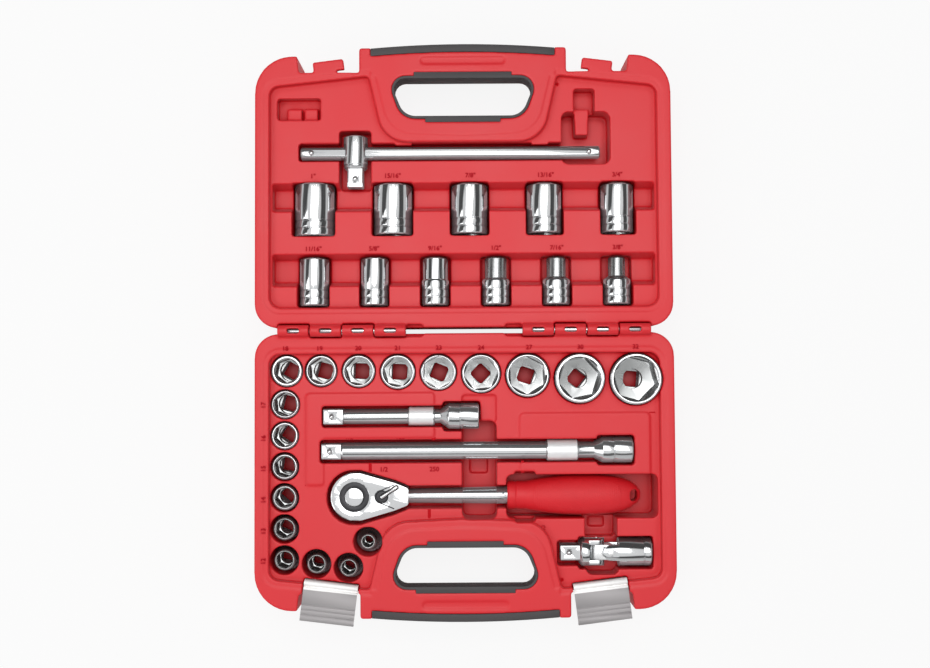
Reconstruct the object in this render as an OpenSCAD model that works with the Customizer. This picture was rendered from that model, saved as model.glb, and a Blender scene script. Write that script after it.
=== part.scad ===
// Half-inch-drive socket set in a moulded two-part carrying case, lying open.
// X runs along the hinge, +Y points to the lid's handle, +Z is up. The open case stands on z = 0.
// Each half is drawn about the hinge line: x along it, y outwards, z = 0 at the parting plane.

/* [Case] */
// Width of the case along the hinge
case_w = 336; // [334:1:360]
// Depth of one half, from the parting plane to its outer face
half_d = 47.5; // [47.5:0.5:60]
// Distance of the front corners behind the grip's crown
corner_drop = 9; // [5:0.2:10]
// Radius of the front corners
front_r = 30; // [24:1:34]
// Radius of the corners beside the hinge
hinge_corner_r = 19; // [12:1:20]
// Rounding of the outer face's edge
outer_edge_r = 6; // [3:0.5:8]
// Depth of the tray face below the parting plane
tray_d = 5.5; // [4:0.5:6]
// Width of the rim on the two sides
rim_w = 11.5; // [10:0.5:11.5]
// Rim between the hinge line and the tray
hinge_rim_w = 18.5; // [17:0.5:18.5]
// Distance of the fine sealing step from the outer edge
step_w = 6.8; // [5:0.2:8]
// Depth of the sealing step
step_d = 0.5; // [0.3:0.1:1]
// Floor left under the deepest pocket
floor_t = 2.5; // [2:0.1:4]
// Gap between the closed halves
rim_gap = 0.3; // [0.2:0.1:0.6]

/* [Handle] */
// Depth of a handle half below the parting plane, rubber included
handle_d = 20; // [18:0.5:24]
// Half width of the handle between the shoulders
handle_half_w = 74.4; // [72:0.2:76]
// Reach of the grip's crown from the hinge line
crown_reach = 231.6; // [230:0.2:236]
// Drop of the crown towards the shoulders
crown_drop = 3.2; // [1:0.2:4]
// Half width of the hand hole on its outer side
hole_half_w = 60; // [56:0.5:61]
// Half width of the hand hole on its inner side
hole_inner_w = 47.5; // [42:0.5:49]
// Width of the hand hole, across the handle
hole_w = 30.8; // [29:0.2:32]
// Width of the grip, from the hand hole to the crown
grip_w = 27.6; // [26:0.2:29]
// Thickness of the rubber round the hole and under the bar
rubber_t = 2; // [1.5:0.1:3]
// Thickness of the rubber along the crown
crown_rubber_t = 6; // [4:0.2:8]

/* [Hinge] */
// Outer diameter of the knuckles
knuckle_d = 9.6; // [8.6:0.2:9.8]
// Diameter of the hinge pins
pin_d = 3.5; // [3:0.1:4]
// Length of one knuckle
knuckle_l = 25.1; // [22:0.1:25.4]
// Spacing of the knuckles
knuckle_pitch = 25.8; // [25.6:0.1:26]
// Middle of the outermost knuckle from the side of the case
knuckle_in = 31.4; // [31:0.2:34]
// Width of the window that shows the pin
window_w = 9.5; // [6:0.5:12]
// Edge of a half from the hinge line
hinge_edge = 2.4; // [2:0.1:3]

/* [Latches] */
// Width of a latch
latch_w = 43; // [38:0.5:44]
// Middle of a latch from the side of the case
latch_in = 59.7; // [58:0.1:61]
// Front edge of the case at the middle of a latch, behind the grip's crown
latch_drop = 19.4; // [18:0.2:21]
// Slope of the front edge and the latches
latch_tilt = 7; // [5:0.5:8]
// Thickness of the latch sheet
latch_t = 1; // [0.8:0.1:1.2]
// Diameter of the latch pins
latch_pin_d = 2.6; // [2:0.1:3]

/* [Drive] */
// Side of the square drives
drive_sq = 12.7; // [12.5:0.05:12.8]
// Clearance of a square socket over its drive
drive_clear = 0.25; // [0.1:0.05:0.4]
// Smallest outer diameter of a socket's drive end
drive_end_d = 22; // [21:0.2:22.4]
// Depth of the square hole in a socket
square_depth = 15.5; // [14:0.5:17]
// Diameter of the locking balls
ball_d = 4.4; // [3.5:0.1:5]

/* [Bars] */
// Length of the short extension bar
short_bar_l = 125; // [120:1:125]
// Length of the long extension bar
long_bar_l = 250; // [240:1:252]
// Shaft diameter of the short extension bar
short_bar_d = 12.3; // [11:0.1:14]
// Shaft diameter of the long extension bar
long_bar_d = 14.1; // [12:0.1:15]
// Diameter of a bar's socket end
bar_head_d = 21; // [20:0.2:22]
// Length of the sliding T-bar
t_bar_l = 243.5; // [235:0.5:246]
// Diameter of the sliding T-bar
t_bar_d = 10.5; // [9:0.1:11.5]
// Diameter of the sliding head
t_head_d = 19.4; // [18:0.2:20.4]

/* [Ratchet] */
// Length of the ratchet
ratchet_l = 250.5; // [246:0.5:251]
// Radius of the ratchet's head
ratchet_r = 18.7; // [18:0.1:19.4]
// Thickness of the ratchet's head
ratchet_t = 17.5; // [16:0.5:18]
// Largest diameter of the grip
grip_d = 32.4; // [30:0.2:33]

/* [Joint] */
// Outer diameter of the universal joint
uj_d = 22.4; // [21:0.2:23]
// Length of the universal joint
uj_l = 72.5; // [70:0.5:73]

/* [Fits] */
// Gap under and round a piece that rests in its pocket
seat_gap = 0.3; // [0.2:0.05:0.5]
// Side clearance of a pocket that grips a socket
pocket_clear = 0.7; // [0.6:0.05:0.8]
// Finger clearance at each side of a bar or of a lying socket
side_clear = 1.2; // [1:0.1:1.4]
// Radial clearance of a pin or shaft that turns
run_clear = 0.05; // [0.03:0.01:0.1]
// Gap between neighbouring pockets of the standing sockets
pocket_wall = 3.2; // [2.5:0.1:3.3]
// Gap between the pockets of the large lying sockets
lid_gap = 30.3; // [28:0.1:31]
// Spacing of the small lying sockets
lid_pitch = 49.2; // [46:0.1:49.4]

/* [Hidden] */
$fn = 48;
eps = 0.01;
half_w = case_w / 2;
rim_z = -rim_gap / 2;
tray_x = half_w - rim_w;
pocket_floor = -(half_d - floor_t);
hole_far = crown_reach - grip_w;
hole_near = hole_far - hole_w;
corner_reach = crown_reach - corner_drop;
latch_edge = crown_reach - latch_drop;
latch_x = half_w - latch_in;
knuckle_first = half_w - knuckle_in;
front_slope = tan(latch_tilt);
// Footprint is centred: the open latches reach further than the lid's crown does
latch_tip = 20.3;
base_reach = latch_edge + latch_w / 2 * sin(latch_tilt) + latch_tip * cos(latch_tilt);
hinge_y = (base_reach - crown_reach) / 2;
shoulder_w = 9.4;
shoulder_x = handle_half_w + shoulder_w;
tab_half_w = 12.5;
lobe_x = latch_x + 24.2;
lobe_slant = 3.6;
beyond = 10;
tab_out = 6.8;
slab_d = handle_d - rubber_t;
pad_t = 1.2;
pad_w = 5;
pad_far_x = 39.5;
pad_near_x = 30.3;
grip_r = 11;
bar_r = 9;
// Stadium-shaped recess in the mating face of a handle bar
stadium_x = 34.5;
stadium_w = 6.6;
stadium_in = 9.8;
// Square drives: length on the bars, and how far the locking ball stands out of its seat
square_l = 14.5;
ball_out = 1.1;
ball_seat_d = 4.8;
ball_along = 0.45;
// Knurled sleeve of the extension bars, and the length of their socket ends
sleeve_rise = 1.2;
bar_head_l = 24;
bar_head_room = 5;
drive_l = 15;
// Ratchet: half the head, and where the tip of its drive hangs below the axis
head_top = ratchet_t / 2;
drive_collar = 0.6;
drive_tip = -head_top - drive_collar - drive_l;
drive_room = 2.85;

// Lying tools: distance from the hinge line, then height of the axis
short_bar = [-tray_x + 42.9, 69, -12.3];
long_bar = [-tray_x + 41.3, 96.9, -12.3];
ratchet = [-tray_x + 67.2, 133.6, pocket_floor + drive_room - drive_tip];
uj = [tray_x - 80.2, hole_near + 5.5, -13];
t_bar = [-tray_x + 24.2, 145, -11.5];
t_head_x = t_bar[0] + 44.7;
t_head_l = 27;
t_square_l = 14.6;
// Knurled sleeves: distance of their two ends from the bar's socket end
short_sleeve = [56.8, 36];
long_sleeve = [68.9, 43.9];

// Socket tables: size across flats, label, outer diameter, length
// Standing in the base, along the hinge
top_row = [
    [18, "18", 25.3, 38], [19, "19", 25.3, 38], [20, "20", 26.1, 40], [21, "21", 27.6, 40],
    [23, "23", 28.6, 40], [24, "24", 31, 40], [27, "27", 34.6, 42], [30, "30", 39.8, 44],
    [32, "32", 41.3, 44]
];
// Standing in the base, down its left side
side_row = [
    [17, "17", 22.8, 38], [16, "16", 22, 38], [15, "15", 20.8, 38], [14, "14", 20, 38],
    [13, "13", 18.2, 38], [12, "12", 16.8, 38]
];
// Standing in the base, beside the latch
front_row = [[11, "11", 15.7, 38], [10, "10", 14.6, 38], [8, "8", 12.6, 38]];
// Lying in the lid, inch sizes: large row, then small row
inch = 25.4;
large_row = [
    [inch, "1in", 32.6, 42.6], [inch * 15 / 16, "15_16in", 31.2, 41], [inch * 7 / 8, "7_8in", 29.6, 40.4],
    [inch * 13 / 16, "13_16in", 28.2, 40], [inch * 3 / 4, "3_4in", 26.4, 39.5]
];
small_row = [
    [inch * 11 / 16, "11_16in", 23.6, 38.5], [inch * 5 / 8, "5_8in", 22, 38.5],
    [inch * 9 / 16, "9_16in", 20.2, 38.5], [inch / 2, "1_2in", 17.4, 38.5],
    [inch * 7 / 16, "7_16in", 15.4, 38.5], [inch * 3 / 8, "3_8in", 13.6, 38.5]
];

function body_r(s) = max(s[2], drive_end_d) / 2;
function top_gap(i) = pocket_wall + (i == 1 ? -0.8 : 1.4);
function top_x(i) = i == 0 ? -tray_x + pocket_clear + body_r(top_row[0])
    : top_x(i - 1) + body_r(top_row[i - 1]) + body_r(top_row[i]) + top_gap(i);
function top_place(i) = [top_x(i), hinge_rim_w + pocket_clear + body_r(top_row[i])];
function side_r(i) = i < 0 ? body_r(top_row[0]) : body_r(side_row[i]);
function side_v(i) = i < 0 ? top_place(0)[1] : side_v(i - 1) + side_r(i - 1) + side_r(i) + pocket_wall - 0.4;
function side_place(i) = [-tray_x + pocket_clear + side_r(i), side_v(i)];
// The last three follow the sloping front edge and then turn in beside the handle
front_step = drive_end_d + pocket_wall + 0.6;
last_step_angle = -53;
function front_place(i) = i < 0 ? side_place(len(side_row) - 1)
    : let (p = front_place(i - 1), a = i == 2 ? last_step_angle : latch_tilt)
      p + front_step * [cos(a), sin(a)];
large_v = 98.9;
small_v = 39.9;
lying_first_x = -tray_x + 34.9;
lying_rise = 2;
function large_x(i) = i == 0 ? lying_first_x
    : large_x(i - 1) + (large_row[i - 1][2] + large_row[i][2]) / 2 + 2 * side_clear + lid_gap - 0.6;
function small_x(i) = lying_first_x + lid_pitch * i;
function lying_z(s) = -lying_rise - body_r(s);

// How far each standing socket happens to be turned in its pocket
top_turn = [30, 15, 2, 3, 22, 44, 18, 38, 5];
side_turn = [14, 33, 8, 40, 25, 12];
front_turn = [6, 28, 17];
base_sockets = [
    for (i = [0 : len(top_row) - 1]) [top_row[i], top_place(i), top_turn[i]],
    for (i = [0 : len(side_row) - 1]) [side_row[i], side_place(i), side_turn[i]],
    for (i = [0 : len(front_row) - 1]) [front_row[i], front_place(i), front_turn[i]]
];
lid_sockets = [
    for (i = [0 : len(large_row) - 1]) [large_row[i], [large_x(i), large_v]],
    for (i = [0 : len(small_row) - 1]) [small_row[i], [small_x(i), small_v]]
];
function socket_name(s) = str("socket_", s[1]);

// ---- outlines with rounded corners: each corner is [x, y, radius] ----

function unit(v) = v / norm(v);
function turned(a) = a > 180 ? a - 360 : a < -180 ? a + 360 : a;
function corner_arc(a, p, b, r, n) =
    let (u = unit(a - p), v = unit(b - p), half = acos(u * v) / 2,
         c = p + unit(u + v) * r / sin(half),
         from = p + u * r / tan(half) - c, to = p + v * r / tan(half) - c,
         a0 = atan2(from[1], from[0]), sweep = turned(atan2(to[1], to[0]) - a0))
    [for (k = [0 : n]) c + r * [cos(a0 + sweep * k / n), sin(a0 + sweep * k / n)]];
function xy(p) = [p[0], p[1]];
function rounded(pts) =
    let (m = len(pts))
    [for (i = [0 : m - 1]) let (p = pts[i], r = p[2])
        each r > 0 ? corner_arc(xy(pts[(i + m - 1) % m]), xy(p), xy(pts[(i + 1) % m]), r, r > 12 ? 9 : r > 4 ? 6 : 3)
                   : [xy(p)]];
function flipped(pts) = [for (i = [len(pts) - 1 : -1 : 0]) [-pts[i][0], pts[i][1], pts[i][2]]];
// A corner list given for +x only, completed by its mirror image
function both_sides(pts) = concat(pts, flipped(pts));

function front_edge(x) = latch_edge - (x - latch_x) * front_slope;
function crown(x, reach) = reach - crown_drop * pow(x / handle_half_w, 2);
function crown_arc(reach) = [for (k = [6 : -1 : -6]) let (x = handle_half_w * k / 6) [x, crown(x, reach), 0]];

// Front face between the lobes, with the notch for the rubber-clad bar of the handle
function front_cut() = both_sides([
    [handle_half_w, hole_far + rubber_t, 0], [handle_half_w, front_edge(lobe_x), 0],
    [lobe_x, front_edge(lobe_x), 2], [lobe_x + lobe_slant, crown_reach + beyond, 0]
]);
function slab_corners() = let (shoulder_y = crown_reach - crown_drop + 0.6) both_sides([
    [shoulder_x, hole_near - 20, 0], [shoulder_x, shoulder_y, 2],
    [handle_half_w, shoulder_y, 0], [handle_half_w, hole_far + rubber_t, 0]
]);
function hole_corners(grow) = both_sides([
    [hole_inner_w + grow, hole_near - grow, 14 + grow], [hole_half_w + grow, hole_far + grow, 9 + grow]
]);
// The tray follows the case's edge and turns in round the hand hole
function tray_side(grow) = [
    [tray_x + grow, hinge_rim_w - grow, 9 + grow],
    [tray_x + grow, front_edge(tray_x) - 8.6 + grow, 8 + grow],
    [shoulder_x - 7.5 - grow, front_edge(shoulder_x) - 9 + grow, 3],
    [hole_half_w + 4 - grow, hole_near - 19.8 + 1.4 * grow, 24]
];
function tray_corners(grow) =
    concat(tray_side(grow), [[0, hole_near - 22.8 + 1.4 * grow, 260]], flipped(tray_side(grow)));

module from_above(z_floor, z_top) translate([0, 0, z_floor]) linear_extrude(z_top - z_floor) children();

// Cuts a rounded rectangle down to z_floor
module pocket(x0, x1, y0, y1, z_floor, r = 3)
    from_above(z_floor, 1)
        polygon(rounded([[x1, y0, r], [x1, y1, r], [x0, y1, r], [x0, y0, r]]));

module place_base() translate([0, hinge_y, half_d]) mirror([0, 1, 0]) children();
module place_lid() translate([0, hinge_y, half_d]) children();
module along_x(p) translate(p) rotate([0, 90, 0]) children();
// Latch frame: x along the latch, y outwards from the front edge
module at_latch(side) translate([side * latch_x, latch_edge, 0]) rotate([0, 0, -side * latch_tilt]) children();

// ---- case halves ----

// One upright corner of a half, rounded in plan and round the edge of the outer face
module corner_post(x, y, r) translate([x, y, 0]) rotate_extrude($fn = 36)
    polygon([[0, -half_d], for (a = [90 : -22.5 : 0])
        [r - outer_edge_r * (1 - cos(a)), -half_d + outer_edge_r * (1 - sin(a))], [r, rim_z], [0, rim_z]]);

// Box of one half, without handle and notches
module outer_box() hull() for (side = [-1, 1]) {
    corner_post(side * (half_w - hinge_corner_r), hinge_edge + hinge_corner_r, hinge_corner_r);
    corner_post(side * (half_w - front_r), corner_reach - front_r, front_r);
}

// The recess behind the handle, where the fingers go
module handle_bay()
    from_above(-half_d - 1, -slab_d)
        polygon(rounded(both_sides([[hole_half_w - 6, hole_near - 6, 12], [shoulder_x + 1, crown_reach + beyond, 0]])));

// Section of the handle bar across x: the outer side is a half round
module bar_solid(near, reach, depth, r, top_z) {
    intersection() {
        from_above(-depth, top_z)
            polygon([for (p = concat(crown_arc(reach), [[-handle_half_w, near, 0], [handle_half_w, near, 0]])) xy(p)]);
        rotate([90, 0, 90]) translate([0, 0, -handle_half_w]) linear_extrude(2 * handle_half_w)
            polygon(rounded([[reach, -depth, r], [reach, top_z, 0], [near, top_z, 0], [near, -depth, r * 0.8]]));
    }
}

// Rubber pads that lap from the hole's lining on to the mating face
module grip_pads(top_z)
    from_above(rim_z - pad_t, top_z)
        for (p = [[pad_far_x, hole_far], [pad_near_x, hole_near - pad_w]])
            translate([-p[0], p[1]]) square([2 * p[0], pad_w]);

function knuckle_x(i) = knuckle_first - i * knuckle_pitch;

// Knuckles of one half, with their windows; parity 0 holds the outermost knuckle
module knuckles(parity) {
    for (side = [-1, 1], i = [parity, parity + 2])
        translate([side * knuckle_x(i), 0, 0]) difference() {
            union() {
                along_x([-knuckle_l / 2, 0, 0]) cylinder(h = knuckle_l, d = knuckle_d);
                translate([-knuckle_l / 2, 0, -knuckle_d / 2]) cube([knuckle_l, hinge_edge + 2, knuckle_d / 2 + rim_z]);
            }
            along_x([-knuckle_l, 0, 0]) cylinder(h = 2 * knuckle_l, r = pin_d / 2 + run_clear);
            translate([-window_w / 2, -pin_d * 0.55, 0]) cube([window_w, pin_d * 1.1, knuckle_d]);
        }
}

// Room in one half for the other half's knuckles, and the bevel at their inner end
module knuckle_room(parity) {
    gap = 0.8;
    room_y = knuckle_d / 2 + gap;
    inner_end = knuckle_x(3) - knuckle_l / 2;
    for (side = [-1, 1]) {
        for (i = [1 - parity, 3 - parity])
            translate([side * knuckle_x(i) - knuckle_l / 2 - gap / 2, -knuckle_d, -room_y])
                cube([knuckle_l + gap, knuckle_d + room_y, knuckle_d]);
        from_above(-room_y, 1) polygon([
            for (p = [[inner_end - 0.4, -1], [inner_end - 0.4, knuckle_d / 2], [inner_end - 12.6, knuckle_d / 2],
                      [inner_end - 17.1, -1]]) [side * p[0], p[1]]
        ]);
    }
}

// The tab that a latch pivots on (base) or hooks over (lid)
module latch_tab(side, z_top, z_low)
    at_latch(side) from_above(z_low, z_top)
        polygon(rounded(both_sides([[tab_half_w, -2, 0], [tab_half_w, tab_out, 1.5]])));

// A half without its pockets
module half_block(parity) {
    difference() {
        union() {
            difference() {
                outer_box();
                from_above(-half_d - 1, 1) polygon(rounded(front_cut()));
            }
            from_above(-slab_d, rim_z) polygon(rounded(slab_corners()));
        }
        handle_bay();
        from_above(-half_d - 1, 1) polygon(rounded(hole_corners(rubber_t)));
        from_above(rim_z - step_d, 1) polygon(rounded(tray_corners(step_w - 2)));
        from_above(-tray_d, 1) polygon(rounded(tray_corners(0)));
        knuckle_room(parity);
        grip_pads(1);
        // outer face: a shallow framed panel
        from_above(-half_d - 1, -half_d + 0.8)
            polygon(rounded(both_sides([[half_w - 24, 24, 10], [half_w - 24, hole_near - 21.2, 10]])));
    }
    difference() {
        bar_solid(hole_far + rubber_t, crown_reach - crown_rubber_t, slab_d, bar_r, rim_z);
        grip_pads(1);
        pocket(-stadium_x, stadium_x, crown_reach - stadium_in - stadium_w, crown_reach - stadium_in, rim_z - 0.8,
               stadium_w / 2 - 0.1);
    }
    knuckles(parity);
}

// Rubber over the outside of one handle half, with the lining of the hand hole
module grip_rubber() {
    color("#3a3a3d") {
        difference() {
            bar_solid(hole_far, crown_reach, handle_d, grip_r, rim_z);
            bar_solid(hole_far + rubber_t, crown_reach - crown_rubber_t, slab_d, bar_r, rim_z + 1);
            from_above(-handle_d, 1) polygon(rounded(hole_corners(0)));
            // the shell's corners beside the hole
            from_above(-slab_d, 1) difference() {
                translate([-shoulder_x, hole_far - 1]) square([2 * shoulder_x, rubber_t + 1]);
                polygon(rounded(hole_corners(rubber_t)));
            }
        }
        from_above(-slab_d, rim_z) difference() {
            polygon(rounded(hole_corners(rubber_t)));
            polygon(rounded(hole_corners(0)));
        }
        grip_pads(rim_z);
    }
}

// Channel in the tray for a tool that lies along x from p: half is its half width, r the tool's radius
module channel(p, x0, x1, half, r, corner = 2)
    pocket(p[0] + x0, p[0] + x1, p[1] - half, p[1] + half, p[2] - r - seat_gap, corner);

// Extension bar: a channel for the shaft, wider at the socket end
module bar_pocket(p, l, d, shaft_side) {
    head_x = l - bar_head_l - bar_head_room;
    channel(p, -side_clear, l + side_clear, d / 2 + shaft_side, d / 2 + sleeve_rise);
    channel(p, head_x, l + side_clear, bar_head_d / 2 + side_clear + 0.3, bar_head_d / 2);
}

module uj_pocket() {
    square_end = uj_square_l + 1;
    side = 1.9;
    finger_x = [20.2, 46.2];
    channel(uj, -3, square_end, drive_sq / 2 + 2 * side, drive_sq / 2);
    channel(uj, square_end - 2.2, uj_l + side_clear, uj_d / 2 + side, uj_d / 2);
    pocket(uj[0] + finger_x[0], uj[0] + finger_x[1], uj[1], uj[1] + uj_d / 2 + 6.2, uj[2] - uj_d / 2 - seat_gap, 5);
}

module ratchet_pocket() {
    clear = 3;
    shaft_x = 40;
    grip_x = ratchet_l - ratchet_r - grip_l;
    half = grip_d / 2 + 1.4;
    p = ratchet;
    translate([p[0], p[1], 0]) from_above(p[2] - head_top - seat_gap, 1) polygon(rounded(head_corners(clear)));
    // well for the square drive that hangs below the head
    translate([p[0], p[1], pocket_floor]) cylinder(h = half_d, r = 12);
    channel(p, shaft_x, grip_x + 8, shank_r + 2.2, shank_r, 3);
    channel(p, grip_x - 1, grip_x + grip_l + 12, half, grip_d / 2, 5);
    channel(p, grip_x + 5.5, grip_x + 22.5, half + 2.6, shank_r - 0.8, 2);
}

// Wells for the fingers that lift the bars and the ratchet; each has a deeper slot for a clip
module finger_wells() {
    well_floor = -30;
    slot_floor = -32;
    mid_x = [-2.2, 25.4];
    grip_x = [95.8, 121.6];
    long_v = long_bar[1];
    pocket(mid_x[0], mid_x[1], short_bar[1] + 4, ratchet[1] + 17.7, well_floor, 5);
    pocket(mid_x[0] + 6, mid_x[1] - 6.6, long_v + 7.3, long_v + 19.9, slot_floor, 2);
    pocket(mid_x[0], mid_x[1], short_bar[1] - 17, short_bar[1] + 5, -tray_d - 1.6, 2);
    pocket(grip_x[0], grip_x[1], ratchet[1] + 15.7, ratchet[1] + 34.4, well_floor, 3);
    pocket(grip_x[0] + 4.7, grip_x[1] - 7.8, ratchet[1] + 18.9, ratchet[1] + 27.4, slot_floor, 2);
}

module base_pockets() {
    for (s = base_sockets)
        translate([s[1][0], s[1][1], pocket_floor]) cylinder(h = half_d, r = body_r(s[0]) + pocket_clear);
    bar_pocket(short_bar, short_bar_l, short_bar_d, 2.4);
    bar_pocket(long_bar, long_bar_l, long_bar_d, 2.2);
    ratchet_pocket();
    uj_pocket();
    finger_wells();
}

// Slightly raised fields of the base tray
module base_fields() {
    left = [short_bar[0] - 13.8, short_bar[0] + 89];
    step_x = left[0] + 14;
    top_v = short_bar[1] - 18.8;
    bar_v = (short_bar[1] + long_bar[1]) / 2 + 3;
    low_v = long_bar[1] + 26.5;
    right = [44.4, tray_x - 8];
    right_v = [short_bar[1] - 2, ratchet[1] + 12.4];
    difference() {
        from_above(-tray_d - 1, -tray_d + 1) {
            polygon(rounded([[left[0], top_v, 3], [left[1], top_v, 2], [left[1], bar_v, 2], [step_x, bar_v, 1],
                             [step_x, low_v, 2], [left[0], low_v, 2]]));
            polygon(rounded([[right[0], right_v[0], 3], [right[1], right_v[0], 3], [right[1], right_v[1], 3],
                             [right[0], right_v[1], 3]]));
        }
        for (s = base_sockets) translate([s[1][0], s[1][1], -half_d]) cylinder(h = half_d + 1, r = body_r(s[0]) + 3);
    }
}

// Locating hole in the mating face beside the hand hole
peg_x = 76.5;
module peg_hole() translate([peg_x, hole_far - 4, rim_z - 7]) cylinder(h = 8, d = 2.6);

// Room in the rim for the open latch: the hook rests in it
module latch_seat(side)
    at_latch(side) from_above(-10, 1) let (half = latch_w / 2 + 0.7)
        polygon([[-half, -12.3], [half, -12.3], [half, 12], [-half, 12]]);

module base_shell() {
    color("#d8242c") place_base() {
        difference() {
            union() {
                half_block(0);
                base_fields();
            }
            base_pockets();
            for (side = [-1, 1]) latch_seat(side);
            peg_hole();
        }
        for (side = [-1, 1]) difference() {
            latch_tab(side, -6, -13.5);
            at_latch(side) along_x([-tab_half_w - 1, pivot_y, pivot_z]) cylinder(h = 2 * tab_half_w + 2, d = latch_pin_d);
        }
    }
}

module t_bar_pocket() {
    nub = [13, 4, 10];
    nub_x = [83.8, 194.8];
    head_half = t_head_d / 2 + 3.1;
    head_end = t_bar[1] - t_head_l / 2 - t_square_l - side_clear;
    // bar channel with a nub over it at two places, then the pocket of the sliding head
    difference() {
        channel(t_bar, -side_clear, t_bar_l + 2, t_bar_d / 2 + 2.1, t_bar_d / 2);
        for (x = nub_x)
            translate([t_bar[0] + x - nub[0] / 2, t_bar[1] + t_bar_d / 2 + 0.6, -tray_d - nub[2] / 2]) cube(nub);
    }
    pocket(t_head_x - head_half, t_head_x + head_half, head_end, t_bar[1] + t_head_l / 2 + 3.9,
           t_bar[2] - t_head_d / 2 - seat_gap, 2);
}

// Small parts tray with two blocks standing in it
module parts_tray() {
    x0 = -tray_x + 5.9;
    v0 = t_bar[1] + 26.7;
    block_v = 9.8;
    difference() {
        pocket(x0, x0 + 35.1, v0, v0 + 17.7, -14, 2);
        from_above(-15, -tray_d - 3) for (x = [[7.7, 19.4], [21.6, 32.5]])
            translate([x0 + x[0], v0 - 1.7]) square([x[1] - x[0], block_v + 1.7]);
    }
}

// Clip pocket with its springy tongue, over the end of the T-bar
module clip_pocket() {
    x = t_bar[0] + 228.9;
    v = t_bar[1];
    difference() {
        union() {
            pocket(x - 6.4, x + 10.4, v + 25, v + 51, -18, 2);
            pocket(x - 16.7, x + 22.7, v - 10.5, v + 32.4, -24, 6);
        }
        from_above(-25, -tray_d - 4) polygon([[x - 5, v + 14], [x + 5, v + 14], [x + 6, v + 35], [x - 6, v + 35]]);
    }
}

module lid_pockets() {
    t_bar_pocket();
    // rows of lying sockets with the finger trough across them
    for (i = [0 : len(large_row) - 1]) socket_bed(large_row[i], large_x(i), large_v - 22, large_v + 21.5);
    for (i = [0 : len(small_row) - 1]) socket_bed(small_row[i], small_x(i), hinge_rim_w + 0.6, small_v + 20.5);
    trough(large_v - 2.1, large_v + 20.9);
    trough(small_v - 3.9, small_v + 22.3);
    parts_tray();
    clip_pocket();
}

module socket_bed(s, x, y0, y1) {
    half = body_r(s) + side_clear;
    pocket(x - half, x + half, y0, y1, lying_z(s) - body_r(s) - seat_gap, 2);
}

// Trough across a row: a flat floor between two sloping walls
module trough(y0, y1) {
    slope = 4;
    depth = 17;
    end = tray_x - 2;
    translate([-end, 0, 0]) rotate([90, 0, 90]) linear_extrude(2 * end)
        polygon([[y0, 1], [y0, -tray_d], [y0 + slope, -depth], [y1 - slope, -depth], [y1, -tray_d], [y1, 1]]);
}

module lid_shell() {
    color("#d8242c") place_lid() {
        difference() {
            half_block(1);
            lid_pockets();
            peg_hole();
        }
        for (side = [-1, 1]) latch_tab(side, rim_z, -4.6);
    }
}

module base_grip() place_base() grip_rubber();
module lid_grip() place_lid() grip_rubber();

module hinge_pins() {
    span = 3 * knuckle_pitch + knuckle_l;
    color("#c9ccd0") place_lid() for (side = [-1, 1])
        along_x([side * (knuckle_first + knuckle_l / 2) - (side > 0 ? span : 0), 0, 0]) cylinder(h = span, d = pin_d);
}

// ---- latches: lever with its rolled hook, and the link that carries it ----

pivot_y = 3.8;
pivot_z = -9.5;
link_y = 11;
link_z = -5;
arm_x = tab_half_w + 0.5;
arm_t = 1.4;
ear_x = arm_x + arm_t + 0.4;
hook_r = 2.4;
hook_y = -9.3;
hook_z = -0.8 - hook_r;

module latch_pivot_pins()
    color("#c9ccd0") place_base() for (side = [-1, 1])
        at_latch(side) along_x([-arm_x - arm_t - 0.2, pivot_y, pivot_z])
            cylinder(h = 2 * (arm_x + arm_t + 0.2), d = latch_pin_d);

// An arm in the y-z plane between the two pins
module link_arm(x) translate([x, 0, 0]) rotate([90, 0, 90]) linear_extrude(arm_t) difference() {
    union() {
        translate([pivot_y, pivot_z]) circle(r = 2.9);
        translate([link_y, link_z]) circle(r = 2.3);
        translate([pivot_y, pivot_z]) rotate(atan2(link_z - pivot_z, link_y - pivot_y))
            translate([0, -2]) square([norm([link_z - pivot_z, link_y - pivot_y]), 4]);
    }
    translate([pivot_y, pivot_z]) circle(r = latch_pin_d / 2 + run_clear);
}

module latch_link(side)
    color("#b9bcc0") place_base() at_latch(side) {
        link_arm(-arm_x - arm_t);
        link_arm(arm_x);
        along_x([-ear_x - latch_t - 0.4, link_y, link_z]) cylinder(h = 2 * (ear_x + latch_t + 0.4), d = latch_pin_d);
    }

// Section of the bent sheet, outwards and up
module latch_section() {
    valley_z = hook_z - latch_t;
    plate_y = -6;
    translate([hook_y - hook_r, -9.3]) square([latch_t, hook_z + 9.3]);
    difference() {
        translate([hook_y, hook_z]) circle(r = hook_r);
        translate([hook_y, hook_z]) circle(r = hook_r - latch_t);
        translate([hook_y - 2 * hook_r, hook_z - 2 * hook_r]) square([4 * hook_r, 2 * hook_r]);
    }
    translate([hook_y + hook_r - latch_t, valley_z]) square([plate_y + latch_t - hook_y - hook_r + latch_t, latch_t]);
    translate([plate_y, valley_z]) square([latch_t, -0.8 - valley_z]);
    difference() {
        translate([plate_y, -0.8 - latch_t]) square([latch_tip - plate_y, latch_t]);
        // three finger ribs across the free end
        for (k = [0 : 2]) translate([7.6 + 3.6 * k, -0.8]) circle(r = 0.45);
    }
    translate([latch_tip - latch_t, -3.4]) square([latch_t, 2.2]);
}

module latch_ear(x) translate([x, 0, 0]) rotate([90, 0, 90]) linear_extrude(latch_t) difference() {
    union() {
        translate([link_y, link_z]) circle(r = 2.5);
        translate([link_y - 2.5, link_z]) square([5, -0.8 - latch_t - link_z + eps]);
    }
    translate([link_y, link_z]) circle(r = latch_pin_d / 2 + run_clear);
}

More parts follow.
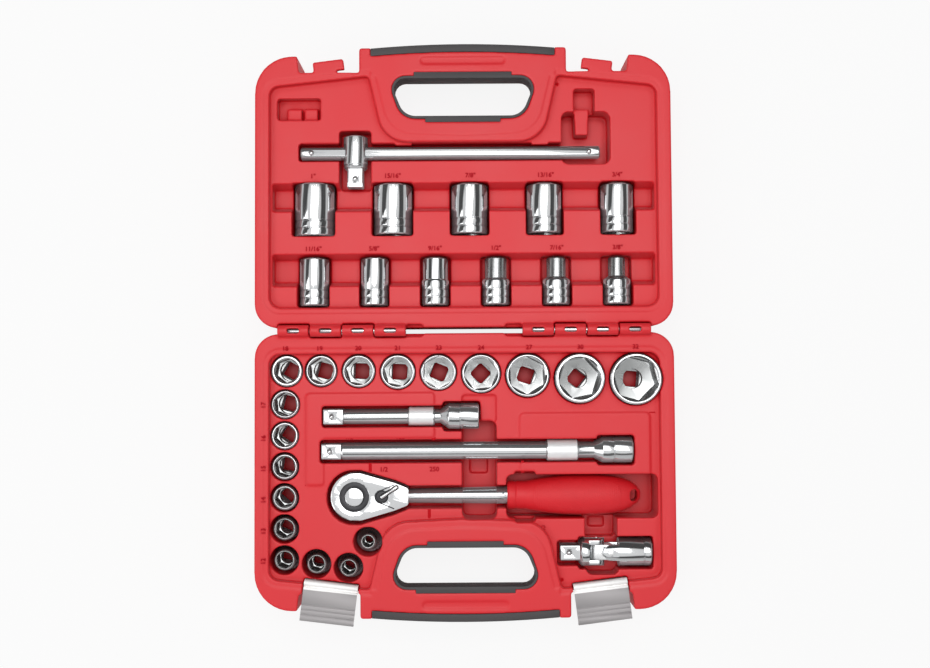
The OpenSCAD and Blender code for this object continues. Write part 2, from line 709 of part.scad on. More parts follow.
module latch_lever(side)
    color("#aeb1b5") place_base() at_latch(side) {
        translate([-latch_w / 2, 0, 0]) rotate([90, 0, 90]) linear_extrude(latch_w) latch_section();
        latch_ear(-ear_x - latch_t);
        latch_ear(ear_x);
    }

// ---- sockets ----

end_round = 1.1;
function ring_groove(r, z) = [[r, z - 0.6], [r - 0.45, z - 0.3], [r - 0.45, z + 0.3], [r, z + 0.6]];

// Profile of the outside, drive end at z = 0
function socket_profile(s) =
    let (r_low = body_r(s), r_top = s[2] / 2, l = s[3], step = l - 16)
    concat([[0, 0], [r_low - 1, 0], [r_low, 1]], ring_groove(r_low, 6.4), ring_groove(r_low, 12.6),
           r_top < r_low ? [[r_low, step - 3], [r_low - 0.4, step - 2], [r_top, step - 2 + (r_low - r_top) * 0.6]] : [],
           [[r_top, l - end_round], [r_top - end_round, l], [0, l]]);

module square_hole(depth) translate([0, 0, -1]) linear_extrude(depth + 1)
    square(drive_sq + drive_clear, center = true);

// One socket, drive end down; turn sets how the square lies under the hexagon
module socket(s, turn) {
    size = s[0];
    hex_d = size / cos(30);
    hex_depth = s[3] * (size > 26 ? 0.5 : 0.42);
    relief_d = min(size * 0.94, drive_sq * 1.28);
    lead_in = 1.4;
    mouth_r = min(hex_d / 2 + 0.2, s[2] / 2 - end_round - 0.3);
    color("#d4d7da") difference() {
        rotate_extrude() polygon(socket_profile(s));
        translate([0, 0, s[3] - hex_depth]) linear_extrude(hex_depth + 1) rotate(turn + 10) circle(d = hex_d, $fn = 6);
        translate([0, 0, s[3] - lead_in]) cylinder(h = lead_in + eps, r1 = size * 0.49, r2 = mouth_r);
        translate([0, 0, square_depth - 1]) cylinder(h = s[3] - hex_depth - square_depth + 2, d = relief_d);
        rotate(turn) square_hole(square_depth);
    }
}

module standing_socket(s)
    place_base() translate([s[1][0], s[1][1], pocket_floor + seat_gap]) socket(s[0], s[2]);

// A lying socket turns its hexagon towards the handle
module lying_socket(s)
    place_lid() translate([s[1][0], s[1][1] - s[0][3] / 2, lying_z(s[0])]) rotate([-90, 0, 0]) socket(s[0], 40);

// ---- bars ----

// Seat of a locking ball, in a surface that faces +z at height h
module ball_seat(x, h) translate([x, 0, h - ball_seat_d]) cylinder(h = ball_seat_d + 1, r = ball_d / 2 + run_clear);

// The square drive along +x; it runs 1 mm into the piece behind it
module square_drive(l) {
    difference() {
        translate([0, -drive_sq / 2, -drive_sq / 2]) cube([l + 1, drive_sq, drive_sq]);
        for (k = [0 : 3]) rotate([45 + 90 * k, 0, 0]) translate([-1, -10, drive_sq * 0.655]) cube([l + 3, 20, 4]);
        ball_seat(l * ball_along, drive_sq / 2);
    }
}

module ball(p) color("#c9ccd0") translate(p) sphere(d = ball_d);
function ball_place(l) = [l * ball_along, 0, drive_sq / 2 + ball_out - ball_d / 2];

// Outside of a bar behind its square; the sleeve's two ends count from the socket end
function bar_profile(l, r, sleeve) = [
    [0, 0], [drive_sq / 2 * 0.9, 0], [r, 2.4], [r, l - sleeve[0] - 0.6], [r + sleeve_rise, l - sleeve[0]],
    [r + sleeve_rise, l - sleeve[1]], [r - 0.5, l - sleeve[1] + 0.6],
    [r - 0.5, l - bar_head_l - 7], [bar_head_d / 2 - 0.6, l - bar_head_l - 1], [bar_head_d / 2, l - bar_head_l],
    each ring_groove(bar_head_d / 2, l - 15), [bar_head_d / 2, l - 0.8], [bar_head_d / 2 - 0.8, l], [0, l]
];

// An extension bar along +x: square drive, shaft, knurled sleeve, socket end
module extension(l, d, sleeve) {
    color("#d4d7da") difference() {
        union() {
            square_drive(square_l);
            translate([square_l, 0, 0]) rotate([0, 90, 0]) rotate_extrude()
                polygon(bar_profile(l - square_l, d / 2, sleeve));
        }
        translate([l, 0, 0]) rotate([0, -90, 0]) square_hole(square_depth);
    }
}

module short_bar() place_base() translate(short_bar) extension(short_bar_l, short_bar_d, short_sleeve);
module long_bar() place_base() translate(long_bar) extension(long_bar_l, long_bar_d, long_sleeve);
module short_bar_ball() place_base() translate(short_bar) ball(ball_place(square_l));
module long_bar_ball() place_base() translate(long_bar) ball(ball_place(square_l));

t_ball_x = [9, t_bar_l - 9];
module t_bar() {
    r = t_bar_d / 2;
    color("#d4d7da") place_lid() translate(t_bar) difference() {
        rotate([0, 90, 0]) rotate_extrude()
            polygon([[0, 0], [r - 1, 0], [r, 1], [r, t_bar_l - 1], [r - 1, t_bar_l], [0, t_bar_l]]);
        for (x = t_ball_x) ball_seat(x, r);
    }
}
module t_bar_balls()
    place_lid() translate(t_bar) for (x = t_ball_x) ball([x, 0, t_bar_d / 2 + ball_out - ball_d / 2]);

// Sliding head: a short round block across the bar with the square drive on it
module t_head() {
    r = t_head_d / 2;
    color("#d4d7da") place_lid() translate([t_head_x, t_bar[1], t_bar[2]]) difference() {
        union() {
            translate([0, t_head_l / 2, 0]) rotate([90, 0, 0]) rotate_extrude()
                polygon([[0, 0], [r - 1, 0], [r, 1], [r, t_head_l - 4], [r - 0.7, t_head_l - 3.4],
                         [r - 0.7, t_head_l - 2.6], [r, t_head_l - 2], [r - 1.6, t_head_l], [0, t_head_l]]);
            translate([0, -t_head_l / 2 - t_square_l, 0]) rotate([0, 0, 90]) square_drive(t_square_l);
        }
        along_x([-r - 1, 0, 0]) cylinder(h = 2 * r + 2, r = t_bar_d / 2 + run_clear);
    }
}
module t_head_ball()
    place_lid() translate([t_head_x, t_bar[1] - t_head_l / 2 - t_square_l, t_bar[2]])
        rotate([0, 0, 90]) ball(ball_place(t_square_l));

// ---- ratchet: head centre at the origin, handle along +x ----

gear_r = 11;
gear_room = 0.15;
stem_r = 3;
ring_r = 12;
ring_t = 0.8;
lever_x = 22.3;
shank_r = 7;
shank_in = 60;
grip_l = 108.5;
shaft_end = ratchet_l - ratchet_r - grip_l;

// Plan of the head, grown by a clearance
function head_corners(grow) =
    let (r = ratchet_r + grow, neck = 43.5)
    [[-r, -r, r - 0.2], [5, -r - 0.2, 8], [33, -10.8 - grow, 8], [neck, -6.6 - grow, 2], [neck, 6.6 + grow, 2],
     [33, 10.8 + grow, 8], [5, r + 0.2, 8], [-r, r, r - 0.2]];

module place_ratchet() place_base() translate(ratchet) children();

module ratchet_body() {
    color("#d4d7da") place_ratchet() difference() {
        union() {
            translate([0, 0, -head_top]) linear_extrude(ratchet_t) polygon(rounded(head_corners(0)));
            // slim neck that grows into the shaft and ends inside the grip
            translate([40, 0, 0]) rotate([0, 90, 0]) cylinder(h = shaft_end - 42, r1 = 5.6, r2 = shank_r);
            translate([shaft_end - 2.5, 0, 0]) rotate([0, 90, 0]) cylinder(h = shank_in + 2, r = shank_r);
        }
        // gear chamber, the drive's neck and the seat of the retaining ring
        translate([0, 0, -head_top + 3]) cylinder(h = ratchet_t, r = gear_r + gear_room);
        translate([0, 0, -head_top - 1]) cylinder(h = 6, r = 9 + run_clear);
        translate([0, 0, head_top - ring_t]) cylinder(h = 2, r = ring_r + run_clear);
        // pawl chamber and the reversing lever's bore and recess
        translate([gear_r - 2, -4.15, -head_top + 3.5]) cube([lever_x - gear_r + 2, 8.3, 9]);
        translate([lever_x, 0, -head_top + 3.5]) cylinder(h = ratchet_t, r = 2.5 + run_clear);
        translate([lever_x, 0, head_top - 0.9]) cylinder(h = 2, r = 5.2);
    }
}

teeth = 36;
function tooth_ring(r_in, r_out) = [for (k = [0 : 2 * teeth - 1]) let (r = k % 2 == 0 ? r_out : r_in)
    r * [cos(180 * k / teeth), sin(180 * k / teeth)]];

module ratchet_drive() {
    color("#c2c5c9") place_ratchet() difference() {
        union() {
            translate([0, 0, -head_top + 3.1]) linear_extrude(11.5) polygon(tooth_ring(gear_r - 0.9, gear_r));
            translate([0, 0, -head_top - drive_collar]) cylinder(h = 5, r = 9);
            translate([0, 0, drive_tip]) rotate([0, -90, 0]) mirror([0, 0, 1]) square_drive(drive_l);
        }
        translate([0, 0, 2]) cylinder(h = head_top, r = 7.2 + run_clear);
        translate([0, 0, -head_top - 20]) cylinder(h = 40, r = stem_r + run_clear);
    }
}

module ratchet_ring()
    color("#4a4b4e") place_ratchet() translate([0, 0, head_top - ring_t]) difference() {
        cylinder(h = ring_t, r = ring_r);
        translate([0, 0, -1]) cylinder(h = 3, r = 7.5);
    }

// Quick-release button: a cap on a long stem
module ratchet_button()
    color("#d4d7da") place_ratchet() {
        translate([0, 0, 6.2]) cylinder(h = head_top - 5.4, r = 7.2);
        translate([0, 0, -10]) cylinder(h = 16.5, r = stem_r);
    }

// Reversing lever: a round hub with an arm that rises to its thumb pad
module ratchet_lever() {
    arm_angle = 35;
    arm_l = 17.5;
    color("#c2c5c9") place_ratchet() translate([lever_x, 0, 0]) {
        translate([0, 0, head_top - 0.6]) cylinder(h = 1.6, r = 4.7);
        translate([0, 0, -1]) cylinder(h = head_top + 1, r = 2.5);
        rotate([0, 0, -arm_angle]) rotate([90, 0, 0]) translate([0, 0, -1.7]) linear_extrude(3.4)
            polygon([[-3.4, head_top + 0.4], [arm_l - 4, head_top + 0.4], [arm_l, head_top + 1.6], [arm_l, head_top + 3],
                     [arm_l - 3, head_top + 2.6], [3, head_top + 1.8], [-3.4, head_top + 1.6]]);
    }
}

module ratchet_pawl()
    color("#9a9da1") place_ratchet() translate([gear_r + 0.3, -4, -head_top + 3.8]) difference() {
        cube([6.5, 8, 8.4]);
        translate([-gear_r - 0.1, 4, -1]) cylinder(h = 12, r = gear_r + 0.05);
    }

module ratchet_ball()
    place_ratchet() translate([0, 0, drive_tip]) rotate([0, -90, 0]) mirror([0, 0, 1]) ball(ball_place(drive_l));

// Soft grip: collar, body that swells to the palm and closes to a round end with its hanging hole
grip_collar_l = 17;
grip_palm = 60;
collar_r = 11.4;
module ratchet_grip() {
    front = [for (k = [0 : 5]) let (t = 1 - k / 5)
        [grip_d / 2 - (grip_d / 2 - collar_r - 0.4) * t * t, grip_palm - (grip_palm - grip_collar_l) * t]];
    rear = [for (k = [1 : 7]) let (u = sin(90 * k / 8))
        [grip_d / 2 * sqrt(1 - pow(u, 3)), grip_palm + (grip_l - grip_palm) * u]];
    color("#e0262d") place_ratchet() translate([shaft_end, 0, 0]) difference() {
        rotate([0, 90, 0]) rotate_extrude() polygon(concat(
            [[0, 0], [collar_r - 1, 0], [collar_r, 1], [collar_r, 6], [collar_r - 0.5, 6.8], [collar_r, 7.6],
             [collar_r, grip_collar_l - 2]],
            front, rear, [[0, grip_l]]));
        translate([-1, 0, 0]) rotate([0, 90, 0]) cylinder(h = shank_in + 0.5, r = shank_r);
        // hanging hole, an oval through the flat of the end
        for (y = [-1.4, 1.4]) translate([grip_l - 7, y, -20]) cylinder(h = 40, d = 7);
        translate([grip_l - 10.5, -1.4, -20]) cube([7, 2.8, 40]);
    }
}

// ---- universal joint: drive end at the origin, along +x ----

uj_square_l = 15;
uj_hub_l = 7.7;
uj_pin_1 = 29.3;
uj_pin_2 = 40;
uj_pin_r = 2.5;
uj_block_r = 6.1;
uj_ear_in = uj_block_r + 0.15;

module place_uj() place_base() translate(uj) children();
module uj_round(x, l) translate([x, 0, 0]) rotate([0, 90, 0]) cylinder(h = l, d = uj_d);

// Two ears either side of the block, kept inside the round of the joint
module uj_ears(x_pin, x_hub) {
    x_low = min(x_pin, x_hub);
    ear_t = 8;
    intersection() {
        uj_round(x_low - uj_block_r - 1, abs(x_hub - x_pin) + 2 * uj_block_r + 2);
        for (side = [-1, 1]) translate([0, side > 0 ? uj_ear_in : -uj_ear_in - ear_t, 0])
            rotate([-90, 0, 0]) linear_extrude(ear_t) difference() {
                union() {
                    translate([x_pin, 0]) circle(r = uj_block_r);
                    translate([x_low, -uj_block_r]) square([abs(x_hub - x_pin), 2 * uj_block_r]);
                }
                translate([x_pin, 0]) circle(r = uj_pin_r + run_clear);
            }
    }
}

module uj_drive_yoke() {
    hub_x = uj_square_l + uj_hub_l;
    color("#c2c5c9") place_uj() {
        square_drive(uj_square_l);
        translate([uj_square_l, 0, 0]) rotate([0, 90, 0]) rotate_extrude()
            polygon([[0, 0], [uj_d / 2 - 2, 0], [uj_d / 2, 2], [uj_d / 2, uj_hub_l], [0, uj_hub_l]]);
        uj_ears(uj_pin_1, hub_x - 1);
    }
}

module uj_block()
    color("#8f9296") place_uj() difference() {
        union() {
            translate([uj_pin_1, -uj_block_r, 0]) rotate([-90, 0, 0]) cylinder(h = 2 * uj_block_r, r = uj_block_r);
            translate([uj_pin_2, 0, -uj_block_r]) cylinder(h = 2 * uj_block_r, r = uj_block_r);
            translate([uj_pin_1, -uj_block_r, -uj_block_r]) cube([uj_pin_2 - uj_pin_1, 2 * uj_block_r, 2 * uj_block_r]);
        }
        translate([uj_pin_1, -20, 0]) rotate([-90, 0, 0]) cylinder(h = 40, r = uj_pin_r);
        translate([uj_pin_2, 0, -20]) cylinder(h = 40, r = uj_pin_r);
    }

module uj_socket_yoke() {
    hub_x = uj_pin_2 + uj_block_r + 0.5;
    color("#c2c5c9") place_uj() {
        difference() {
            translate([hub_x, 0, 0]) rotate([0, 90, 0]) rotate_extrude()
                polygon(let (l = uj_l - hub_x, r = uj_d / 2)
                    [[0, 0], [r, 0], each ring_groove(r, l - 6), [r, l - 0.8], [r - 0.8, l], [0, l]]);
            translate([uj_l, 0, 0]) rotate([0, -90, 0]) square_hole(square_depth);
        }
        rotate([90, 0, 0]) uj_ears(uj_pin_2, hub_x + 1);
    }
}

module uj_pins()
    color("#c9ccd0") place_uj() {
        pin_half = sqrt(pow(uj_d / 2, 2) - pow(uj_pin_r, 2)) - 0.1;
        translate([uj_pin_1, -pin_half, 0]) rotate([-90, 0, 0]) cylinder(h = 2 * pin_half, r = uj_pin_r);
        translate([uj_pin_2, 0, -pin_half]) cylinder(h = 2 * pin_half, r = uj_pin_r);
    }

module uj_ball() place_uj() ball(ball_place(uj_square_l));

base_shell();
lid_shell();
base_grip();
lid_grip();
hinge_pins();
latch_pivot_pins();
latch_link(-1);  // latch_link_left
latch_link(1);  // latch_link_right
latch_lever(-1);  // latch_lever_left
latch_lever(1);  // latch_lever_right
ratchet_body();
ratchet_grip();
ratchet_drive();
ratchet_ring();
ratchet_button();
ratchet_lever();
ratchet_pawl();
ratchet_ball();
short_bar();
short_bar_ball();
long_bar();
long_bar_ball();
uj_drive_yoke();
uj_block();
uj_socket_yoke();
uj_pins();
uj_ball();
t_bar();
t_bar_balls();
t_head();
t_head_ball();
for (s = base_sockets) standing_socket(s);
for (s = lid_sockets) lying_socket(s);
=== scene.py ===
"""Socket wrench set: a moulded carrying case lies open, with its ratchet, bars, joint and sockets.

Sizes are metres in the row frame: X runs along the hinge, +Y towards the lid's handle, +Z up.
"""

import functools
import logging
import math
from dataclasses import dataclass
from enum import Enum

import bmesh
import bpy
from mathutils import Matrix, Vector

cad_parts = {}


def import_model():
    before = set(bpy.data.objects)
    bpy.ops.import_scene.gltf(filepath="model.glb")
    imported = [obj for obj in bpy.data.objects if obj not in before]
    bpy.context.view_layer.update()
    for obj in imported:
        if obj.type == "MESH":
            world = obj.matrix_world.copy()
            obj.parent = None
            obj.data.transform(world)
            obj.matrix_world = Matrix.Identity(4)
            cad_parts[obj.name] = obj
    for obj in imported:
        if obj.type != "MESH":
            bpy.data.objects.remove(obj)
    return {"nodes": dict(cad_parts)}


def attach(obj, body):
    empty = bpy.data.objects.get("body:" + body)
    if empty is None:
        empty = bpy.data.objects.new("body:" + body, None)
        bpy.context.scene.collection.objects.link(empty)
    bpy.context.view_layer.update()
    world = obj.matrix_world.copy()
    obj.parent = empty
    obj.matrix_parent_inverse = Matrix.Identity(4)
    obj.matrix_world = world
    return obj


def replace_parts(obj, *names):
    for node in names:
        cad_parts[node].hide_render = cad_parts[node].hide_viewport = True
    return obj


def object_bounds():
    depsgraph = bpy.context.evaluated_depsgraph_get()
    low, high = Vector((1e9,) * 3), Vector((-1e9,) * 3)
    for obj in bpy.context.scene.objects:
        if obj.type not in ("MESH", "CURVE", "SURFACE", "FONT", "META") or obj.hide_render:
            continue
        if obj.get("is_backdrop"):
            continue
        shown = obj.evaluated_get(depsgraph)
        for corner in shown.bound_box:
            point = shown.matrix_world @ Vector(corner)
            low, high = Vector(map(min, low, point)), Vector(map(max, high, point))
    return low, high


LOG = logging.getLogger("socket_set")
Socket = bpy.types.NodeSocket
Node = bpy.types.Node
NodeTree = bpy.types.NodeTree
Material = bpy.types.Material
Object = bpy.types.Object
Mesh = bpy.types.Mesh
BMesh = bmesh.types.BMesh
Triple = tuple[float, float, float]
Plan = tuple[tuple[float, float], ...]
Value = Socket | float
HINGE_Y = 0.0016845
HALF_DEPTH = 0.0475
# Heights in millimetres above the parting plane
TRAY_Z = -5.5
HINGE_RIM_Z = -0.3
RIM_Z = -0.15


def mm(*values: float) -> Vector:
    """Three lengths in millimetres as a vector in metres."""
    return Vector(values) * 0.001


class Half(Enum):
    """The two halves of the case, and which way each one reaches from the hinge."""

    BASE = ("base", -1.0)
    LID = ("lid", 1.0)

    @property
    def body(self) -> str:
        """Name of the body that carries this half."""
        return self.value[0]

    def place(self, x: float, reach: float, z: float = TRAY_Z) -> Vector:
        """A point of this half in the row frame.

        Args:
            x: Millimetres along the hinge.
            reach: Millimetres from the hinge line towards the handle.
            z: Millimetres above the parting plane.

        Returns:
            The point in metres.
        """
        return Vector((x * 0.001, HINGE_Y + self.value[1] * reach * 0.001, HALF_DEPTH + z * 0.001))


# Node helpers


class Graph:
    """A node tree under construction."""

    def __init__(self, tree: NodeTree) -> None:
        """Keeps the tree that nodes are added to."""
        self.tree = tree

    def add(self, kind: str, inputs: dict | None = None, **settings) -> Node:
        """Adds a node.

        Args:
            kind: Blender's node type without the ShaderNode prefix.
            inputs: Values or sockets by input name or number.
            **settings: Properties of the node.

        Returns:
            The new node.
        """
        node = self.tree.nodes.new("ShaderNode" + kind)
        for key, value in settings.items():
            setattr(node, key, value)
        for key, value in (inputs or {}).items():
            if isinstance(value, Socket):
                self.tree.links.new(value, node.inputs[key])
            else:
                node.inputs[key].default_value = value
        return node

    def link(self, source: Socket, node: Node, name: str) -> None:
        """Feeds a socket into an input of a node.

        Args:
            source: The output socket.
            node: The node that takes it.
            name: Name of its input.
        """
        self.tree.links.new(source, node.inputs[name])

    def maths(self, operation: str, a: Value, b: Value = 0.0) -> Socket:
        """One step of arithmetic on two sockets or numbers.

        Args:
            operation: Blender's name of the operation.
            a: First socket or number.
            b: Second socket or number.

        Returns:
            The result's socket.
        """
        return self.add("Math", {0: a, 1: b}, operation=operation).outputs[0]

    def noise(self, vector: Socket, scale: float, detail: float = 2.0, rough: float = 0.5) -> Socket:
        """A noise texture's value.

        Args:
            vector: Socket with the coordinates.
            scale: Features per metre.
            detail: Octaves.
            rough: Weight of the finer octaves.

        Returns:
            The noise, from 0 to 1.
        """
        inputs = {"Vector": vector, "Scale": scale, "Detail": detail, "Roughness": rough}
        return self.add("TexNoise", inputs).outputs["Fac"]

    def between(self, value: Value, low: float, high: float, to_low: float, to_high: float) -> Socket:
        """A value moved from one range to another, held at the ends.

        Args:
            value: Socket with the value.
            low: Start of the first range.
            high: End of the first range.
            to_low: What low becomes.
            to_high: What high becomes.

        Returns:
            The new value's socket.
        """
        node = self.add("MapRange", {0: value, 1: low, 2: high, 3: to_low, 4: to_high}, clamp=True)
        return node.outputs[0]


class Surface(Graph):
    """A material under construction, with its Principled shader."""

    def __init__(self, name: str, color: Triple) -> None:
        """Starts the material.

        Args:
            name: Its name.
            color: Its base colour.
        """
        self.material = bpy.data.materials.new(name)
        self.material.use_nodes = True
        self.material.diffuse_color = (*color, 1.0)
        super().__init__(self.material.node_tree)
        self.color = color
        self.shader = self.tree.nodes["Principled BSDF"]
        self.shader.inputs["Base Color"].default_value = (*color, 1.0)

    def effect(self, group: NodeTree, **values: float) -> dict[str, Socket]:
        """Puts a shared effect into the material.

        Args:
            group: The effect's node group.
            **values: The group's inputs by name.

        Returns:
            The group's outputs by name.
        """
        node = self.tree.nodes.new("ShaderNodeGroup")
        node.node_tree = group
        for key, value in values.items():
            node.inputs[key].default_value = value
        return {output.name: output for output in node.outputs}

    def tint(self, amount: Socket, low: float, high: float) -> Socket:
        """Varies the base colour between a darker and a lighter tone.

        Args:
            amount: Socket that goes from 0, the first tone, to 1, the second.
            low: Share of the colour at 0.
            high: Share of the colour at 1.

        Returns:
            The colour's socket.
        """
        return self.blend(amount, *(tuple(min(c * share, 1.0) for c in self.color) for share in (low, high)))

    def blend(self, amount: Socket, one: Socket | Triple, two: Socket | Triple) -> Socket:
        """Blends two colours into the shader's base colour.

        Args:
            amount: Socket that goes from 0, the first colour, to 1, the second.
            one: First colour.
            two: Second colour.

        Returns:
            The colour's socket.
        """
        one, two = ((*c, 1.0) if isinstance(c, tuple) else c for c in (one, two))
        color = self.add("Mix", {0: amount, 6: one, 7: two}, data_type="RGBA").outputs[2]
        self.link(color, self.shader, "Base Color")
        return color

    def bump(self, height: Socket, distance: float, strength: float) -> None:
        """Feeds a height through a bump node into the shader.

        Args:
            height: Socket with the height.
            distance: Depth of the relief in metres.
            strength: Share of it that shows.
        """
        relief = self.add("Bump", {"Height": height, "Distance": distance, "Strength": strength})
        self.link(relief.outputs["Normal"], self.shader, "Normal")


class Effects:
    """Node groups that several finishes share, each built once."""

    @staticmethod
    def _group(name: str, inputs: dict[str, float], outputs: tuple[str, ...]) -> tuple[Graph, Node, Node]:
        """Starts a group with number inputs and number outputs.

        Args:
            name: Name of the group.
            inputs: Input names with their usual values.
            outputs: Output names.

        Returns:
            The graph, the group's input node and its output node.
        """
        tree = bpy.data.node_groups.new(name, "ShaderNodeTree")
        for key, value in inputs.items():
            socket = tree.interface.new_socket(key, in_out="INPUT", socket_type="NodeSocketFloat")
            socket.default_value = value
        for key in outputs:
            tree.interface.new_socket(key, in_out="OUTPUT", socket_type="NodeSocketFloat")
        return Graph(tree), tree.nodes.new("NodeGroupInput"), tree.nodes.new("NodeGroupOutput")

    @staticmethod
    @functools.cache
    def grain() -> NodeTree:
        """Moulded or cast grain: a fine height, a broad mottle and a few rubbed marks."""
        g, given, out = Effects._group(
            "grain", {"Scale": 1.0, "Depth": 1.0, "Rubbing": 0.5}, ("Height", "Mottle", "Rubbed"))
        place = g.add("TexCoord").outputs["Object"]
        scaled = g.add("VectorMath", {0: place, "Scale": given.outputs["Scale"]}, operation="SCALE").outputs[0]
        fine = g.noise(scaled, 1600.0, 3.0, 0.6)
        coarse = g.noise(scaled, 260.0, 2.0, 0.5)
        height = g.maths("ADD", g.maths("MULTIPLY", fine, 0.6), g.maths("MULTIPLY", coarse, 0.4))
        g.link(g.maths("MULTIPLY", height, given.outputs["Depth"]), out, "Height")
        g.link(g.noise(place, 14.0, 4.0, 0.55), out, "Mottle")
        long_marks = g.add("Mapping", {"Vector": place, "Rotation": (0.3, 0.2, 0.7), "Scale": (1.0, 14.0, 3.0)})
        marks = g.between(g.noise(long_marks.outputs[0], 60.0, 5.0, 0.6), 0.62, 0.74, 0.0, 1.0)
        g.link(g.maths("MULTIPLY", marks, given.outputs["Rubbing"]), out, "Rubbed")
        return g.tree

    @staticmethod
    @functools.cache
    def polish() -> NodeTree:
        """Plated steel: hairlines from the polishing wheel, a faint haze and finger marks."""
        g, given, out = Effects._group("polish", {"Hairline": 1.0, "Haze": 1.0}, ("Height", "Haze"))
        place = g.add("TexCoord").outputs["Object"]
        lines = g.add("Mapping", {"Vector": place, "Scale": (1.0, 1.0, 0.06)})
        hair = g.noise(lines.outputs[0], 2600.0, 2.0, 0.5)
        g.link(g.maths("MULTIPLY", hair, given.outputs["Hairline"]), out, "Height")
        smear = g.between(g.noise(place, 90.0, 4.0, 0.6), 0.45, 0.75, 0.0, 1.0)
        g.link(g.maths("MULTIPLY", smear, given.outputs["Haze"]), out, "Haze")
        return g.tree

    @staticmethod
    @functools.cache
    def brush() -> NodeTree:
        """Brushed sheet: long hairlines along the sheet and slow changes of tone."""
        g, given, out = Effects._group("brush", {"Strength": 1.0}, ("Height", "Tone"))
        place = g.add("TexCoord").outputs["Object"]
        along = g.add("Mapping", {"Vector": place, "Scale": (0.05, 1.0, 1.0)})
        hair = g.noise(along.outputs[0], 4200.0, 3.0, 0.7)
        g.link(g.maths("MULTIPLY", hair, given.outputs["Strength"]), out, "Height")
        slow = g.noise(along.outputs[0], 300.0, 3.0, 0.6)
        g.link(g.maths("ADD", g.maths("MULTIPLY", hair, 0.5), g.maths("MULTIPLY", slow, 0.5)), out, "Tone")
        return g.tree


# Finishes


@dataclass(frozen=True)
class Finish:
    """What every finish has: its name and the colour it starts from."""

    name: str
    color: Triple

    def build(self) -> Material:
        """Makes the material.

        Returns:
            The material.
        """
        surface = Surface(self.name, self.color)
        self.draw(surface)
        return surface.material

    def draw(self, s: Surface) -> None:
        """Adds the nodes of this kind of finish.

        Args:
            s: The material under construction.
        """


@dataclass(frozen=True)
class MouldedPlastic(Finish):
    """Coloured polyethylene with a satin grain, with painted shade of a deeper red in its hollows and painted light
    and shade in what chrome mirrors of it.

    Attributes:
        relief: Depth of the grain in metres.
        sheen: Specular level on open faces.
        hollow_sheen: Specular level close to a wall, dimmed there as painted shade.
        reach: How far from a wall the painted shade reaches, in metres.
        mirrored: Painted reflection tones that chrome shows of the plastic in place of its red: a painted shade tone
            for faces turned to the base's end, and a painted light tone for faces turned to the lid's.
        painted_reflection_share: How far those painted reflection tones replace the red in what chrome shows.
    """

    roughness: float = 0.4
    relief: float = 0.00006
    sheen: float = 0.58
    hollow_sheen: float = 0.12
    # Painted shade: the darker red that the colour turns to close to walls.
    painted_shade_red: Triple = (0.5, 0.001, 0.006)
    reach: float = 0.006
    # Painted reflection: dark for faces turned to the base's end, as painted shade, light for faces turned to the
    # lid's, as painted light.
    mirrored: tuple[Triple, Triple] = ((0.03, 0.02, 0.02), (0.75, 0.7, 0.72))
    painted_reflection_share: float = 0.78

    def draw(self, s: Surface) -> None:
        """Adds grain, painted shade in the hollows and painted reflection tones that chrome shows of the plastic."""
        s.shader.inputs["IOR"].default_value = 1.46
        grain = s.effect(Effects.grain(), Scale=1.0, Depth=1.0, Rubbing=0.35)
        tint = s.tint(grain["Mottle"], 0.93, 1.07)
        # Painted shade: close to a wall, found by ambient occlusion, the red turns deeper and the specular level
        # drops.
        open_air = s.add("AmbientOcclusion", {"Distance": self.reach}, samples=6).outputs["AO"]
        painted_shade_mask = s.between(open_air, 0.35, 0.9, 0.9, 0.0)
        shaded_red = s.blend(painted_shade_mask, tint, self.painted_shade_red)
        # Painted reflection: chrome sees the plastic in dark and light tones in place of red, darker on faces turned
        # to the base's end and lighter on faces turned to the lid's, as painted shade and light.
        facing = s.add("SeparateXYZ", {0: s.add("NewGeometry").outputs["Normal"]}).outputs["Y"]
        painted_light_side = s.between(facing, -0.5, 0.7, 0.0, 1.0)
        painted_reflection = s.blend(painted_light_side, *self.mirrored)
        painted_reflection_mask = s.maths("MULTIPLY", s.add("LightPath").outputs["Is Glossy Ray"], self.painted_reflection_share)
        s.blend(painted_reflection_mask, shaded_red, painted_reflection)
        # Painted shade: the specular level drops close to walls.
        s.link(s.between(open_air, 0.4, 0.95, self.hollow_sheen, self.sheen), s.shader, "Specular IOR Level")
        uneven = s.between(grain["Mottle"], 0.3, 0.7, self.roughness - 0.04, self.roughness + 0.05)
        rubbed = s.maths("MULTIPLY", grain["Rubbed"], 0.12)
        s.link(s.maths("ADD", uneven, rubbed), s.shader, "Roughness")
        s.bump(grain["Height"], self.relief, 0.5)


@dataclass(frozen=True)
class SoftRubber(Finish):
    """Matt rubber with a fine open grain, a little smoother where it is rubbed."""

    roughness: float = 0.62

    def draw(self, s: Surface) -> None:
        """Adds the grain."""
        s.shader.inputs["IOR"].default_value = 1.48
        grain = s.effect(Effects.grain(), Scale=1.6, Depth=1.0, Rubbing=0.6)
        s.tint(grain["Mottle"], 0.85, 1.2)
        rubbed = s.maths("MULTIPLY", grain["Rubbed"], 0.12)
        s.link(s.maths("SUBTRACT", self.roughness, rubbed), s.shader, "Roughness")
        s.bump(grain["Height"], 0.00012, 0.7)


